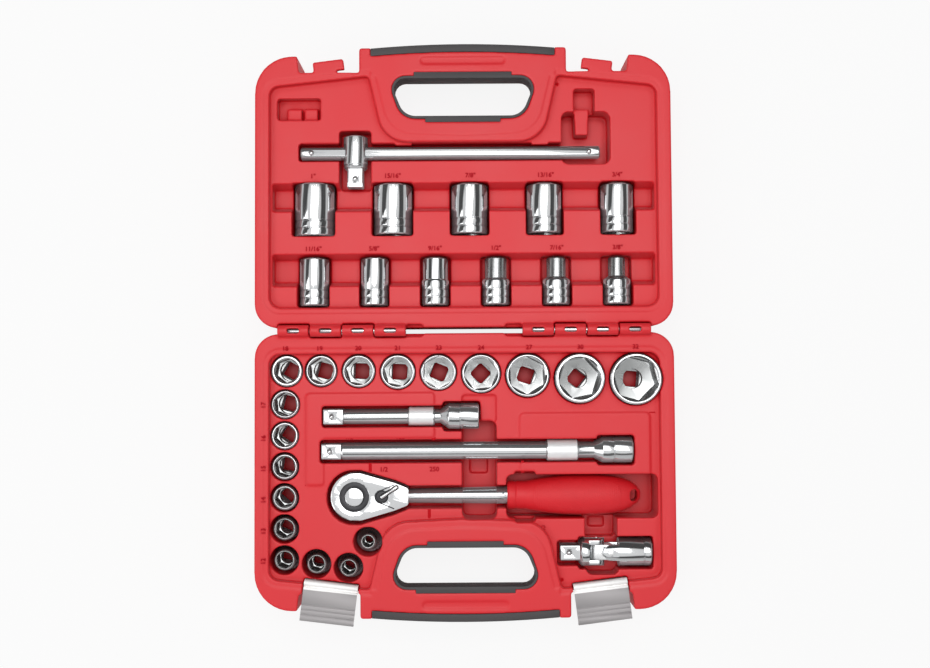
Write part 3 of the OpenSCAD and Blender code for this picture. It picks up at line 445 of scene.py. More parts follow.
@dataclass(frozen=True)
class PlatedSteel(Finish):
    """Chrome plating or another coat on steel: polished, or satin where roughness is higher.

    Attributes:
        roughness: Roughness of the clean coat.
        hairline: Height of the polishing lines.
        metallic: Share of the metal's own reflection.
        haze: Shares of the colour on the clean coat and on the haziest spots.
        smear: Roughness that the haze adds.
        relief: Depth of the lines in metres, and the share of it that shows.
    """

    roughness: float = 0.07
    hairline: float = 0.4
    metallic: float = 0.94
    haze: tuple[float, float] = (1.0, 0.94)
    smear: float = 0.07
    relief: tuple[float, float] = (0.00001, 0.25)

    def draw(self, s: Surface) -> None:
        """Adds the polish and its haze."""
        s.shader.inputs["Metallic"].default_value = self.metallic
        polish = s.effect(Effects.polish(), Hairline=self.hairline, Haze=1.0)
        s.tint(polish["Haze"], *self.haze)
        rough = s.between(polish["Haze"], 0.0, 1.0, self.roughness, self.roughness + self.smear)
        s.link(rough, s.shader, "Roughness")
        s.bump(polish["Height"], *self.relief)


@dataclass(frozen=True)
class SocketSteel(PlatedSteel):
    """A chrome-plated socket whose bore and drive square are darker and rougher than its rim.

    Attributes:
        bore: Where the bright rim starts, as a share of the outer radius.
        inside: Colour of the bore.
        dullness: Roughness added in the bore.
    """

    axis: Triple = (0.0, 0.0, 1.0)
    bore: float = 0.8
    inside: Triple = (0.42, 0.43, 0.43)
    dullness: float = 0.2

    def draw(self, s: Surface) -> None:
        """Adds the polish and dulls the bore."""
        super().draw(s)
        place = s.add("TexCoord").outputs["Generated"]
        centred = s.add("VectorMath", {0: place, 1: (0.5, 0.5, 0.5)}, operation="SUBTRACT").outputs[0]
        across = tuple(2.0 - 2.0 * part for part in self.axis)
        flat = s.add("VectorMath", {0: centred, 1: across}, operation="MULTIPLY").outputs[0]
        radius = s.add("VectorMath", {0: flat}, operation="LENGTH").outputs["Value"]
        within = s.between(radius, self.bore, self.bore + 0.03, 1.0, 0.0)
        plated, outer = (s.shader.inputs[key].links[0].from_socket for key in ("Base Color", "Roughness"))
        s.blend(within, plated, self.inside)
        dull = s.maths("MULTIPLY", within, self.dullness)
        s.link(s.maths("ADD", outer, dull), s.shader, "Roughness")


@dataclass(frozen=True)
class BrushedSheet(Finish):
    """Stainless sheet, brushed along its length, with a painted highlight on its bend.

    Attributes:
        bend: Where the bend starts, in metres along Y.
        lean: How far that line falls back for each metre from the middle of the case.
        bend_highlight: Colour of the painted highlight on the bend.
    """

    roughness: float = 0.5
    bend: float = -0.2187
    lean: float = 0.1157
    bend_highlight: Triple = (1.0, 0.99, 0.98)

    def draw(self, s: Surface) -> None:
        """Adds the brushing and the painted highlight on the bend."""
        s.shader.inputs["Metallic"].default_value = 0.5
        brush = s.effect(Effects.brush(), Strength=1.0)
        tone = s.tint(brush["Tone"], 0.88, 1.08)
        place = s.add("SeparateXYZ", {0: s.add("TexCoord").outputs["Object"]})
        slant = s.maths("MULTIPLY", s.maths("ABSOLUTE", place.outputs["X"]), self.lean)
        above = s.maths("SUBTRACT", place.outputs["Y"], slant)
        # Painted highlight: above this line the bend is coloured near white, in place of the light that it catches.
        bend_highlight_mask = s.between(above, self.bend, self.bend + 0.0004, 0.0, 1.0)
        s.blend(bend_highlight_mask, tone, self.bend_highlight)
        rough = s.between(brush["Tone"], 0.3, 0.7, self.roughness - 0.05, self.roughness + 0.08)
        s.link(rough, s.shader, "Roughness")
        s.bump(brush["Height"], 0.00002, 0.35)


PLATING = (0.64, 0.65, 0.66)


@dataclass(frozen=True)
class Palette:
    """All the finishes of the set."""

    case: MouldedPlastic = MouldedPlastic("case_red", (0.68, 0.014, 0.022), roughness=0.44)
    number: MouldedPlastic = MouldedPlastic("number_red", (0.42, 0.002, 0.014), roughness=0.6, sheen=0.12)
    # Painted shade: the darker red of the strips that stand in for the shade on the tray's steps.
    step: MouldedPlastic = MouldedPlastic("step_red", (0.5, 0.002, 0.008), roughness=0.5, sheen=0.1)
    rubber: SoftRubber = SoftRubber("grip_rubber", (0.055, 0.05, 0.052))
    handle: SoftRubber = SoftRubber("handle_red", (0.66, 0.01, 0.018), roughness=0.5)
    chrome: PlatedSteel = PlatedSteel("chrome", PLATING)
    rod: PlatedSteel = PlatedSteel("rod_chrome", PLATING, roughness=0.09, metallic=0.86)
    standing: SocketSteel = SocketSteel("standing_socket", PLATING)
    lying: SocketSteel = SocketSteel("lying_socket", PLATING, axis=(0.0, 1.0, 0.0))
    satin: PlatedSteel = PlatedSteel("satin_chrome", (0.84, 0.845, 0.85), roughness=0.26, hairline=1.0)
    knurl: PlatedSteel = PlatedSteel(
        "knurled_chrome", (0.95, 0.95, 0.955), roughness=0.38, hairline=0.5, metallic=0.35)
    sheet: BrushedSheet = BrushedSheet("latch_steel", (0.43, 0.41, 0.415), roughness=0.6)
    link: PlatedSteel = PlatedSteel("link_steel", (0.95, 0.94, 0.93), roughness=0.3, hairline=1.0, metallic=0.25)
    pin: PlatedSteel = PlatedSteel("pin_steel", (0.74, 0.74, 0.745), roughness=0.2, hairline=0.8)
    dark: PlatedSteel = PlatedSteel(
        "black_oxide", (0.045, 0.045, 0.048), roughness=0.38, hairline=1.0, metallic=0.8, haze=(0.9, 1.3), smear=0.12,
        relief=(0.00002, 0.3))


class Wardrobe:
    """Builds each finish once and hands out its material."""

    def __init__(self, palette: Palette) -> None:
        """Keeps the palette."""
        self.palette = palette
        self._made: dict[str, Material] = {}

    def __getitem__(self, name: str) -> Material:
        """The material of a finish in the palette."""
        if name not in self._made:
            self._made[name] = getattr(self.palette, name).build()
        return self._made[name]


# Mesh helpers


def dress(obj: Object, material: Material) -> None:
    """Gives an object one material.

    Args:
        obj: The object.
        material: Its material.
    """
    obj.data.materials.clear()
    obj.data.materials.append(material)


def placed(name: str, data: bpy.types.ID) -> Object:
    """Puts an object into the scene.

    Args:
        name: Its name.
        data: Its mesh, text, lamp or camera.

    Returns:
        The object.
    """
    obj = bpy.data.objects.new(name, data)
    bpy.context.scene.collection.objects.link(obj)
    return obj


def piece(name: str, mesh: Mesh, material: Material, body: str) -> Object:
    """Makes an object that rides on a body.

    Args:
        name: Name of the piece.
        mesh: Its mesh, in the row frame.
        material: Its material.
        body: The body that carries it.

    Returns:
        The new object.
    """
    obj = placed(name, mesh)
    dress(obj, material)
    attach(obj, body)
    return obj


def soften(obj: Object, width: float, angle: float) -> None:
    """Rounds the sharp edges of a part and smooths its curved faces.

    Args:
        obj: The part.
        width: Size of the rounding in metres.
        angle: Edges sharper than this many degrees are rounded.
    """
    weld = obj.modifiers.new("weld", "WELD")
    weld.merge_threshold = 0.000002
    bevel = obj.modifiers.new("round", "BEVEL")
    bevel.width = width
    bevel.segments = 2
    bevel.limit_method = "ANGLE"
    bevel.angle_limit = math.radians(angle)
    bevel.harden_normals = True
    bevel.use_clamp_overlap = True
    obj.data.shade_smooth()


def evaluated_mesh(obj: Object, name: str) -> Mesh:
    """The mesh that an object's modifiers give.

    Args:
        obj: The object.
        name: Name of the new mesh.

    Returns:
        A mesh with the modifiers applied.
    """
    graph = bpy.context.evaluated_depsgraph_get()
    graph.update()
    mesh = bpy.data.meshes.new_from_object(obj.evaluated_get(graph))
    mesh.name = name
    return mesh


def finished(bm: BMesh, name: str, smooth: bool = True) -> Mesh:
    """Turns a mesh under construction into a mesh.

    Args:
        bm: The mesh under construction, freed here.
        name: Name of the mesh.
        smooth: Whether its faces are shaded smooth.

    Returns:
        The mesh.
    """
    mesh = bpy.data.meshes.new(name)
    bm.to_mesh(mesh)
    bm.free()
    if smooth:
        mesh.shade_smooth()
    return mesh


def circle(steps: int) -> list[float]:
    """Angles of the points round a circle.

    Args:
        steps: Number of points.

    Returns:
        The angles in radians.
    """
    return [2 * math.pi * k / steps for k in range(steps)]


def joined(bm: BMesh, rings: list[list[bmesh.types.BMVert]]) -> None:
    """Joins each closed ring of points to the next one with faces.

    Args:
        bm: The mesh under construction.
        rings: The rings, with as many points each.
    """
    for one, two in zip(rings, rings[1:]):
        for k in range(len(one)):
            n = (k + 1) % len(one)
            bm.faces.new((one[k], one[n], two[n], two[k]))


def turned(bm: BMesh, profile: Plan, steps: int) -> None:
    """Adds a turned shape about Z.

    Args:
        bm: The mesh under construction.
        profile: Points (radius, height), from the axis outwards and down.
        steps: Number of steps round the axis.
    """
    rings = []
    for r, z in profile:
        if r == 0.0:
            rings.append([bm.verts.new((0.0, 0.0, z))])
        else:
            rings.append([bm.verts.new((r * math.cos(a), r * math.sin(a), z)) for a in circle(steps)])
    for one, two in zip(rings, rings[1:]):
        for k in range(steps):
            n = (k + 1) % steps
            if len(one) == 1:
                bm.faces.new((one[0], two[k], two[n]))
            else:
                bm.faces.new((one[k], two[k], two[n], one[n]))


# Assemblies


@dataclass
class Assembly:
    """Pieces of the set that are dressed together.

    Attributes:
        cad: The CAD nodes by name.
    """

    cad: dict[str, Object]

    def build(self, wardrobe: Wardrobe) -> None:
        """Builds and dresses the pieces.

        Args:
            wardrobe: The finishes.
        """

    def fit(self, wardrobe: Wardrobe, finishes: dict[str, tuple[str, float]], angle: float = 28.0) -> None:
        """Dresses solids and rounds their edges.

        Args:
            wardrobe: The finishes.
            finishes: Finish, and size of the rounding in metres, by node.
            angle: Edges sharper than this many degrees are rounded.
        """
        for name, (finish, width) in finishes.items():
            dress(self.cad[name], wardrobe[finish])
            soften(self.cad[name], width, angle)

    def balls(self, wardrobe: Wardrobe, *names: str) -> None:
        """Dresses locking balls.

        Args:
            wardrobe: The finishes.
            *names: Their nodes.
        """
        for name in names:
            dress(self.cad[name], wardrobe["pin"])
            self.cad[name].data.shade_smooth()


@dataclass
class Lettering:
    """Plain raised numbers on one half.

    Attributes:
        size: Size of the font in millimetres.
        rise: Thickness of the numbers in millimetres.
        lift: How far their middle lies above the face, as a share of it.
    """

    half: Half
    material: Material
    size: float = 5.2
    rise: float = 0.5
    lift: float = 0.35

    def number(self, text: str, x: float, reach: float, z: float, turn: float = 0.0) -> None:
        """Raises one number from the plastic.

        Args:
            text: What it says.
            x: Millimetres along the hinge to its middle.
            reach: Millimetres from the hinge line to its middle.
            z: Height of the face that it stands on, from the parting plane.
            turn: Degrees that it is turned, anticlockwise from above.
        """
        curve = bpy.data.curves.new("text", "FONT")
        curve.body = text
        curve.align_x = curve.align_y = "CENTER"
        curve.size = self.size * 0.001
        curve.extrude = self.rise * 0.0005
        curve.resolution_u = 3
        maker = placed("text", curve)
        spin = Matrix.Rotation(math.radians(turn), 4, "Z")
        maker.matrix_world = Matrix.Translation(self.half.place(x, reach, z + self.rise * self.lift)) @ spin
        label = text.replace('"', "").replace("/", "_")
        mesh = evaluated_mesh(maker, "number_" + label)
        mesh.transform(maker.matrix_world)
        bpy.data.objects.remove(maker)
        piece(f"{self.half.body}_number_{label}", mesh, self.material, self.half.body)


@dataclass
class Numbers:
    """Sizes beside the pockets: metric in the base, inches in the lid, drive and length beside the bars.

    Each entry holds the text and its place along the row, in millimetres.
    """

    top: tuple[tuple[str, float], ...] = (
        ("18", -143.3), ("19", -115.9), ("20", -84.9), ("21", -53.3), ("23", -20.4), ("24", 13.4), ("27", 51.8),
        ("30", 92.9), ("32", 137.1))
    top_reach: float = 14.2
    side: tuple[tuple[str, float], ...] = (
        ("17", 59.3), ("16", 85.7), ("15", 109.8), ("14", 134.6), ("13", 159.3), ("12", 183.0))
    side_x: float = -160.6
    large: tuple[tuple[str, float], ...] = (
        ('1"', -121.8), ('15/16"', -57.4), ('7/8"', 5.8), ('13/16"', 66.6), ('3/4"', 124.8))
    large_reach: float = 125.6
    small: tuple[tuple[str, float], ...] = (
        ('11/16"', -121.6), ('5/8"', -72.4), ('9/16"', -23.2), ('1/2"', 26.0), ('7/16"', 75.2), ('3/8"', 124.4))
    small_reach: float = 66.4
    bars: tuple[tuple[str, float, float], ...] = (
        ("1/2", -92.8, 85.6), ("125", -51.8, 85.6), ("1/2", -65.2, 111.4), ("250", -24.6, 111.4), ("1/2", 61.0, 158.6))

    def build(self, material: Material) -> None:
        """Raises the numbers.

        Args:
            material: Their material.
        """
        base, lid = Lettering(Half.BASE, material), Lettering(Half.LID, material)
        for text, x in self.top:
            base.number(text, x, self.top_reach, HINGE_RIM_Z)
        for text, reach in self.side:
            base.number(text, self.side_x, reach, RIM_Z, 90.0)
        for text, x in self.large:
            lid.number(text, x, self.large_reach, TRAY_Z)
        for text, x in self.small:
            lid.number(text, x, self.small_reach, TRAY_Z)
        for text, x, reach in self.bars:
            base.number(text, x, reach, TRAY_Z)


@dataclass
class CaseHalf(Assembly):
    """One moulded half with its rubber grip.

    Attributes:
        voxel: Cell of the remeshing, in metres.
        passes: Rounds of smoothing, which soften the edges.
        share: Share of the faces that is kept.
    """

    half: Half
    voxel: float = 0.0007
    passes: int = 9
    share: float = 0.2

    def shell(self, material: Material) -> None:
        """Makes the moulded half from its solid, with soft edges.

        Args:
            material: The plastic.
        """
        node = self.half.body + "_shell"
        mesh = self.cad[node].data.copy()
        bm = bmesh.new()
        bm.from_mesh(mesh)
        bmesh.ops.remove_doubles(bm, verts=bm.verts, dist=0.000002)
        bm.to_mesh(mesh)
        bm.free()
        worker = placed("worker", mesh)
        remesh = worker.modifiers.new("remesh", "REMESH")
        remesh.mode = "VOXEL"
        remesh.voxel_size = self.voxel
        smooth = worker.modifiers.new("smooth", "SMOOTH")
        smooth.factor = 0.5
        smooth.iterations = self.passes
        fewer = worker.modifiers.new("fewer", "DECIMATE")
        fewer.ratio = self.share
        name = self.half.body + "_case"
        soft = evaluated_mesh(worker, name)
        bpy.data.objects.remove(worker)
        soft.shade_smooth()
        shell = piece(name, soft, material, self.half.body)
        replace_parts(shell, node)
        LOG.info("%s: %d faces", name, len(soft.polygons))

    def build(self, wardrobe: Wardrobe) -> None:
        """Builds the shell and dresses the rubber round the handle."""
        self.shell(wardrobe["case"])
        self.fit(wardrobe, {self.half.body + "_grip": ("rubber", 0.0005)})


@dataclass
class StepShadows:
    """Painted shadows: thin dark red strips on the steps between the raised fields of the base's tray, in place of the
    shade on their sloped walls.

    Attributes:
        steps: Start and end of each, x and reach, and its width, in millimetres.
        rise: Height of a strip in metres.
        taper: Width of its top as a share of its foot.
    """

    steps: tuple[tuple[float, ...], ...] = (
        (46.2, 67.4, 46.2, 86.2, 2.4), (46.2, 66.9, 153.0, 66.9, 1.0), (46.2, 105.0, 46.2, 114.5, 2.4),
        (-25.0, 78.6, -25.0, 88.0, 3.2), (-26.0, 52.5, -26.0, 59.0, 1.4), (-76.0, 106.0, -76.0, 113.0, 2.6),
        (-28.8, 143.4, -28.8, 155.0, 2.6), (-127.8, 56.0, -127.8, 124.0, 1.0), (-126.0, 51.6, -28.0, 51.6, 0.8))
    rise: float = 0.00012
    taper: float = 0.6

    def build(self, material: Material) -> None:
        """Lays the painted shadows as shallow dark red ridges.

        Args:
            material: Their material.
        """
        bm = bmesh.new()
        for x0, reach0, x1, reach1, width in self.steps:
            start, end = Half.BASE.place(x0, reach0), Half.BASE.place(x1, reach1)
            along = (end - start).normalized()
            side = along.cross(Vector((0.0, 0.0, 1.0))) * width * 0.0005
            up = Vector((0.0, 0.0, self.rise))
            feet = [bm.verts.new(at + shift) for at in (start, end) for shift in (side, -side)]
            tops = [bm.verts.new(at + up + shift * self.taper) for at in (start, end) for shift in (side, -side)]
            for a, b in ((0, 1), (1, 3), (3, 2), (2, 0)):
                bm.faces.new((feet[a], feet[b], tops[b], tops[a]))
            bm.faces.new((tops[0], tops[1], tops[3], tops[2]))
            bm.faces.new((feet[0], feet[2], feet[3], feet[1]))
        bmesh.ops.recalc_face_normals(bm, faces=bm.faces)
        mesh = finished(bm, "base_step_shadows", smooth=False)
        piece("base_step_shadows", mesh, material, Half.BASE.body)


@dataclass
class Latches(Assembly):
    """The two bent steel latches with their links, and the pins of the case."""

    def build(self, wardrobe: Wardrobe) -> None:
        """Dresses the latches and pins."""
        for side in ("left", "right"):
            self.fit(wardrobe, {"latch_lever_" + side: ("sheet", 0.0003), "latch_link_" + side: ("link", 0.0002)})
        self.fit(wardrobe, {"hinge_pins": ("pin", 0.0003), "latch_pivot_pins": ("pin", 0.0003)})


@dataclass
class Sockets(Assembly):
    """All the sockets, standing in the base and lying in the lid."""

    def build(self, wardrobe: Wardrobe) -> None:
        """Dresses the sockets."""
        names = [name for name in self.cad if name.startswith("socket_")]
        self.fit(wardrobe, {name: ("lying" if name.endswith("in") else "standing", 0.00025) for name in names}, 24.0)


@dataclass
class KnurledSleeve:
    """A sleeve with a diamond knurl round a bar that lies along X, in metres.

    Attributes:
        radius: Radius at the root of the knurl.
        teeth: Diamonds round the sleeve.
        depth: Height of the diamonds.
        sink: How far its ends dip into the bar.
        pitch: Distance of its rings.
    """

    bar: str
    middle: Vector
    radius: float
    length: float
    teeth: int = 44
    depth: float = 0.00022
    sink: float = 0.0003
    pitch: float = 0.00035

    def build(self, material: Material) -> None:
        """Cuts the knurl.

        Args:
            material: Its plating.
        """
        around, along = self.teeth * 4, int(self.length / self.pitch)
        bm = bmesh.new()
        rings = []
        for i in range(along + 1):
            x = self.middle.x - self.length / 2 + self.length * i / along
            fade = min(1.0, i / 3, (along - i) / 3)
            v = (x - self.middle.x) / (2 * math.pi * self.radius / self.teeth)
            ring = []
            for k, turn in enumerate(circle(around)):
                u = k / 4
                a, b = abs((u + v) % 1.0 - 0.5) * 2, abs((u - v) % 1.0 - 0.5) * 2
                r = self.radius + self.depth * fade * min(a, b) * 2 - self.sink * (1 - fade)
                ring.append(bm.verts.new((x, self.middle.y + r * math.cos(turn), self.middle.z + r * math.sin(turn))))
            rings.append(ring)
        joined(bm, rings)
        name = self.bar + "_knurl"
        piece(name, finished(bm, name), material, self.bar)


@dataclass
class Bars(Assembly):
    """The two extension bars, the sliding bar and its head.

    Attributes:
        sleeves: For each extension bar its reach, the x of its socket end, the sleeve's radius, and where the
            sleeve starts and stops before that end, in millimetres.
        axis_z: Height of the bars' axes from the parting plane.
    """

    sleeves: tuple[tuple, ...] = (
        ("short_bar", 69.0, 11.4, 7.35, 56.8, 36.0), ("long_bar", 96.9, 134.8, 8.25, 68.9, 43.9))
    axis_z: float = -12.3

    def build(self, wardrobe: Wardrobe) -> None:
        """Dresses the bars and cuts their knurled sleeves."""
        self.fit(wardrobe, dict.fromkeys(("short_bar", "long_bar", "t_bar", "t_head"), ("rod", 0.0003)), 24.0)
        self.balls(wardrobe, "short_bar_ball", "long_bar_ball", "t_bar_balls", "t_head_ball")
        for bar, reach, end, radius, start, stop in self.sleeves:
            middle = Half.BASE.place(end - (start + stop) / 2, reach, self.axis_z)
            KnurledSleeve(bar, middle, radius * 0.001, (start - stop) * 0.001).build(wardrobe["knurl"])


@dataclass
class DottedPanel:
    """A panel of small raised dots on one face of the ratchet's grip, in millimetres.

    Attributes:
        start: The grip's front end on its axis, in metres.
        palm_radius: Radius of the grip at its widest.
        collar: Radius and length of its collar.
        palm: Where the grip is widest, behind its front end.
        span: Where the panel starts and ends.
        half_angle: Degrees that it reaches to each side.
        steps: Steps of the mesh across one dot.
    """

    start: Vector
    palm_radius: float = 16.2
    collar: tuple[float, float] = (11.4, 17.0)
    palm: float = 60.0
    length: float = 108.5
    span: tuple[float, float] = (20.0, 91.0)
    half_angle: float = 62.0
    pitch: float = 1.7
    height: float = 0.32
    steps: int = 4

    def radius(self, x: float) -> float:
        """Radius of the grip.

        Args:
            x: Millimetres behind its front end.

        Returns:
            The radius in millimetres.
        """
        if x <= self.collar[1]:
            return self.collar[0]
        if x <= self.palm:
            t = (self.palm - x) / (self.palm - self.collar[1])
            return self.palm_radius - (self.palm_radius - self.collar[0] - 0.4) * t * t
        u = min((x - self.palm) / (self.length - self.palm), 1.0)
        return self.palm_radius * math.sqrt(max(1.0 - u ** 3, 0.0))

    def build(self, name: str, side: float, material: Material) -> None:
        """Raises the dots.

        Args:
            name: Name of the piece.
            side: 1 for the upper face, -1 for the lower one.
            material: The rubber.
        """
        low, high = self.span
        along = int((high - low) / self.pitch) * self.steps
        across = int(2 * math.radians(self.half_angle) * self.palm_radius / self.pitch) * self.steps
        bm = bmesh.new()
        rows = []
        for i in range(along + 1):
            x = low + (high - low) * i / along
            bow = 1 - (2 * (x - low) / (high - low) - 1) ** 4
            row = []
            for k in range(across + 1):
                share = 2 * k / across - 1
                angle = math.radians(self.half_angle * share)
                inside = min(1.0, max(0.0, (bow * 0.96 + 0.04 - abs(share) ** 3) * 9))
                dot = math.sin(math.pi * i / self.steps) ** 2 * math.sin(math.pi * (k + i / 2) / self.steps) ** 2
                r = self.radius(x) + self.height * dot * inside - 0.25 * (1 - inside) + 0.03
                row.append(bm.verts.new(self.start + mm(x, r * math.sin(angle), side * r * math.cos(angle))))
            rows.append(row)
        for one, two in zip(rows, rows[1:]):
            for k in range(across):
                corners = (one[k], one[k + 1], two[k + 1], two[k])
                bm.faces.new(corners if side < 0 else corners[::-1])
        piece(name, finished(bm, name), material, "ratchet")


@dataclass
class CoverPlate:
    """The fine joint of the cover plate that runs back from the reversing lever in a V.

    Attributes:
        head: Middle of the ratchet's head, in metres.
        line: Points of the joint from there, in millimetres.
        face: Height of the face that it lies on.
    """

    head: Vector
    line: Plan = (
        (32.2, -9.6), (22.6, -5.6), (19.0, -4.4), (17.1, -2.2), (16.6, 0.0), (17.1, 2.2), (19.0, 4.4), (22.6, 5.6),
        (32.2, 9.6))
    face: float = 8.84
    width: float = 0.9

    def build(self, material: Material) -> None:
        """Draws the joint as a dark line on the face of the head.

        Args:
            material: Dark metal.
        """
        bm = bmesh.new()
        pairs = []
        for i, (x, y) in enumerate(self.line):
            before, after = self.line[max(i - 1, 0)], self.line[min(i + 1, len(self.line) - 1)]
            along = Vector((after[0] - before[0], after[1] - before[1])).normalized()
            across = Vector((-along.y, along.x)) * self.width / 2
            sides = (mm(x + s * across.x, y + s * across.y, self.face) for s in (-1, 1))
            pairs.append([bm.verts.new(self.head + place) for place in sides])
        for one, two in zip(pairs, pairs[1:]):
            bm.faces.new((one[0], two[0], two[1], one[1]))
        bmesh.ops.recalc_face_normals(bm, faces=bm.faces)
        name = "ratchet_plate_joint"
        piece(name, finished(bm, name, smooth=False), material, "ratchet")


@dataclass
class ReversingLever:
    """The reversing lever: a dark round hub sunk in the head, and a bright arm with a rounded thumb end.

    Attributes:
        pivot: Where it turns, level with the middle of the head, in metres.
        angle: Degrees that it points away from the shaft.
        hub: Radius of the hub, and heights of its top and foot, in millimetres.
        base: How far the dark base reaches past the arm, and how much lower it lies.
        stations: Place along the arm, half width, half height and height of the middle.
    """

    pivot: Vector
    angle: float = 34.0
    hub: Triple = (5.1, 9.5, 8.1)
    base: tuple[float, float] = (0.6, 0.8)
    stations: tuple[tuple[float, ...], ...] = (
        (-1.4, 1.0, 0.5, 10.3), (0.0, 1.6, 0.9, 10.5), (3.0, 1.35, 0.9, 10.8), (6.0, 0.9, 0.8, 11.0),
        (8.5, 0.95, 0.8, 11.2), (11.5, 1.4, 0.9, 11.5), (14.0, 1.45, 0.9, 11.6), (15.6, 0.8, 0.5, 11.6))
    sides: int = 16

    def arm(self, bm: BMesh, grow: float, drop: float) -> None:
        """Sweeps an arm along the lever's stations.

        Args:
            bm: The mesh under construction.
            grow: Millimetres added all round it.
            drop: Millimetres that it lies lower.
        """
        rings = []
        last = len(self.stations) - 1
        for i, (x, half_w, half_h, z) in enumerate(self.stations):
            end = grow if i == last else -grow if i == 0 else 0.0
            rings.append([bm.verts.new((x + end, (half_w + grow) * math.cos(a), z - drop + half_h * math.sin(a)))
                          for a in circle(self.sides)])
        joined(bm, rings)
        bm.faces.new(rings[0])
        bm.faces.new(rings[-1][::-1])

    def finish(self, bm: BMesh, name: str, material: Material, slot: str) -> Object:
        """Turns a finished mesh to the lever's angle and sets it on the pivot.

        Args:
            bm: The mesh, in millimetres about the pivot.
            name: Name of the piece.
            material: Its material.
            slot: Name of a material slot; not used.

        Returns:
            The piece.
        """
        bmesh.ops.recalc_face_normals(bm, faces=bm.faces)
        mesh = finished(bm, name)
        mesh.transform(Matrix.Translation(self.pivot) @ Matrix.Rotation(math.radians(self.angle), 4, "Z")
                       @ Matrix.Scale(0.001, 4))
        part = piece(name, mesh, material, "ratchet_lever")
        smooth = part.modifiers.new("round", "SUBSURF")
        smooth.levels = smooth.render_levels = 1
        return part

    def build(self, wardrobe: Wardrobe) -> None:
        """Turns the hub and sweeps the arm.

        Args:
            wardrobe: The finishes.
        """
        bm = bmesh.new()
        hub, top, seat = self.hub
        turned(bm, ((0.0, top), (2.2, top), (hub - 0.5, top), (hub, top - 0.4), (hub, seat)), 40)
        self.arm(bm, *self.base)
        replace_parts(self.finish(bm, "ratchet_lever_hub", wardrobe["dark"], "dark_ring"), "ratchet_lever")
        bm = bmesh.new()
        self.arm(bm, 0.0, 0.0)
        self.finish(bm, "ratchet_lever_arm", wardrobe["satin"], "chrome")


@dataclass
class Ratchet(Assembly):
    """The ratchet: head, driven gear, button, reversing lever and grip.

    Attributes:
        head: Middle of the head: x, reach and height from the parting plane, in millimetres.
        lever_x: The reversing lever's pivot behind it.
        grip_x: The grip's front end behind it.
    """

    head: Triple = (-89.3, 133.6, -17.8)
    lever_x: float = 22.3
    grip_x: float = 123.3

    def build(self, wardrobe: Wardrobe) -> None:
        """Dresses the ratchet."""
        self.fit(wardrobe, {
            "ratchet_body": ("rod", 0.0009), "ratchet_drive": ("satin", 0.0003), "ratchet_ring": ("dark", 0.0002),
            "ratchet_button": ("chrome", 0.0006), "ratchet_pawl": ("pin", 0.0003), "ratchet_grip": ("handle", 0.0006)})
        self.balls(wardrobe, "ratchet_ball")
        head = Half.BASE.place(*self.head)
        CoverPlate(head).build(wardrobe["dark"])
        ReversingLever(head + mm(self.lever_x, 0.0, 0.0)).build(wardrobe)
        panel = DottedPanel(head + mm(self.grip_x, 0.0, 0.0))
        panel.build("grip_dots_upper", 1.0, wardrobe["handle"])
        panel.build("grip_dots_lower", -1.0, wardrobe["handle"])


@dataclass
class UniversalJoint(Assembly):
    """The universal joint: two yokes, block, pins and ball."""

    def build(self, wardrobe: Wardrobe) -> None:
        """Dresses the joint."""
        finishes = {"uj_drive_yoke": "chrome", "uj_socket_yoke": "chrome", "uj_block": "satin", "uj_pins": "pin"}
        self.fit(wardrobe, {name: (finish, 0.0003) for name, finish in finishes.items()})
        self.balls(wardrobe, "uj_ball")


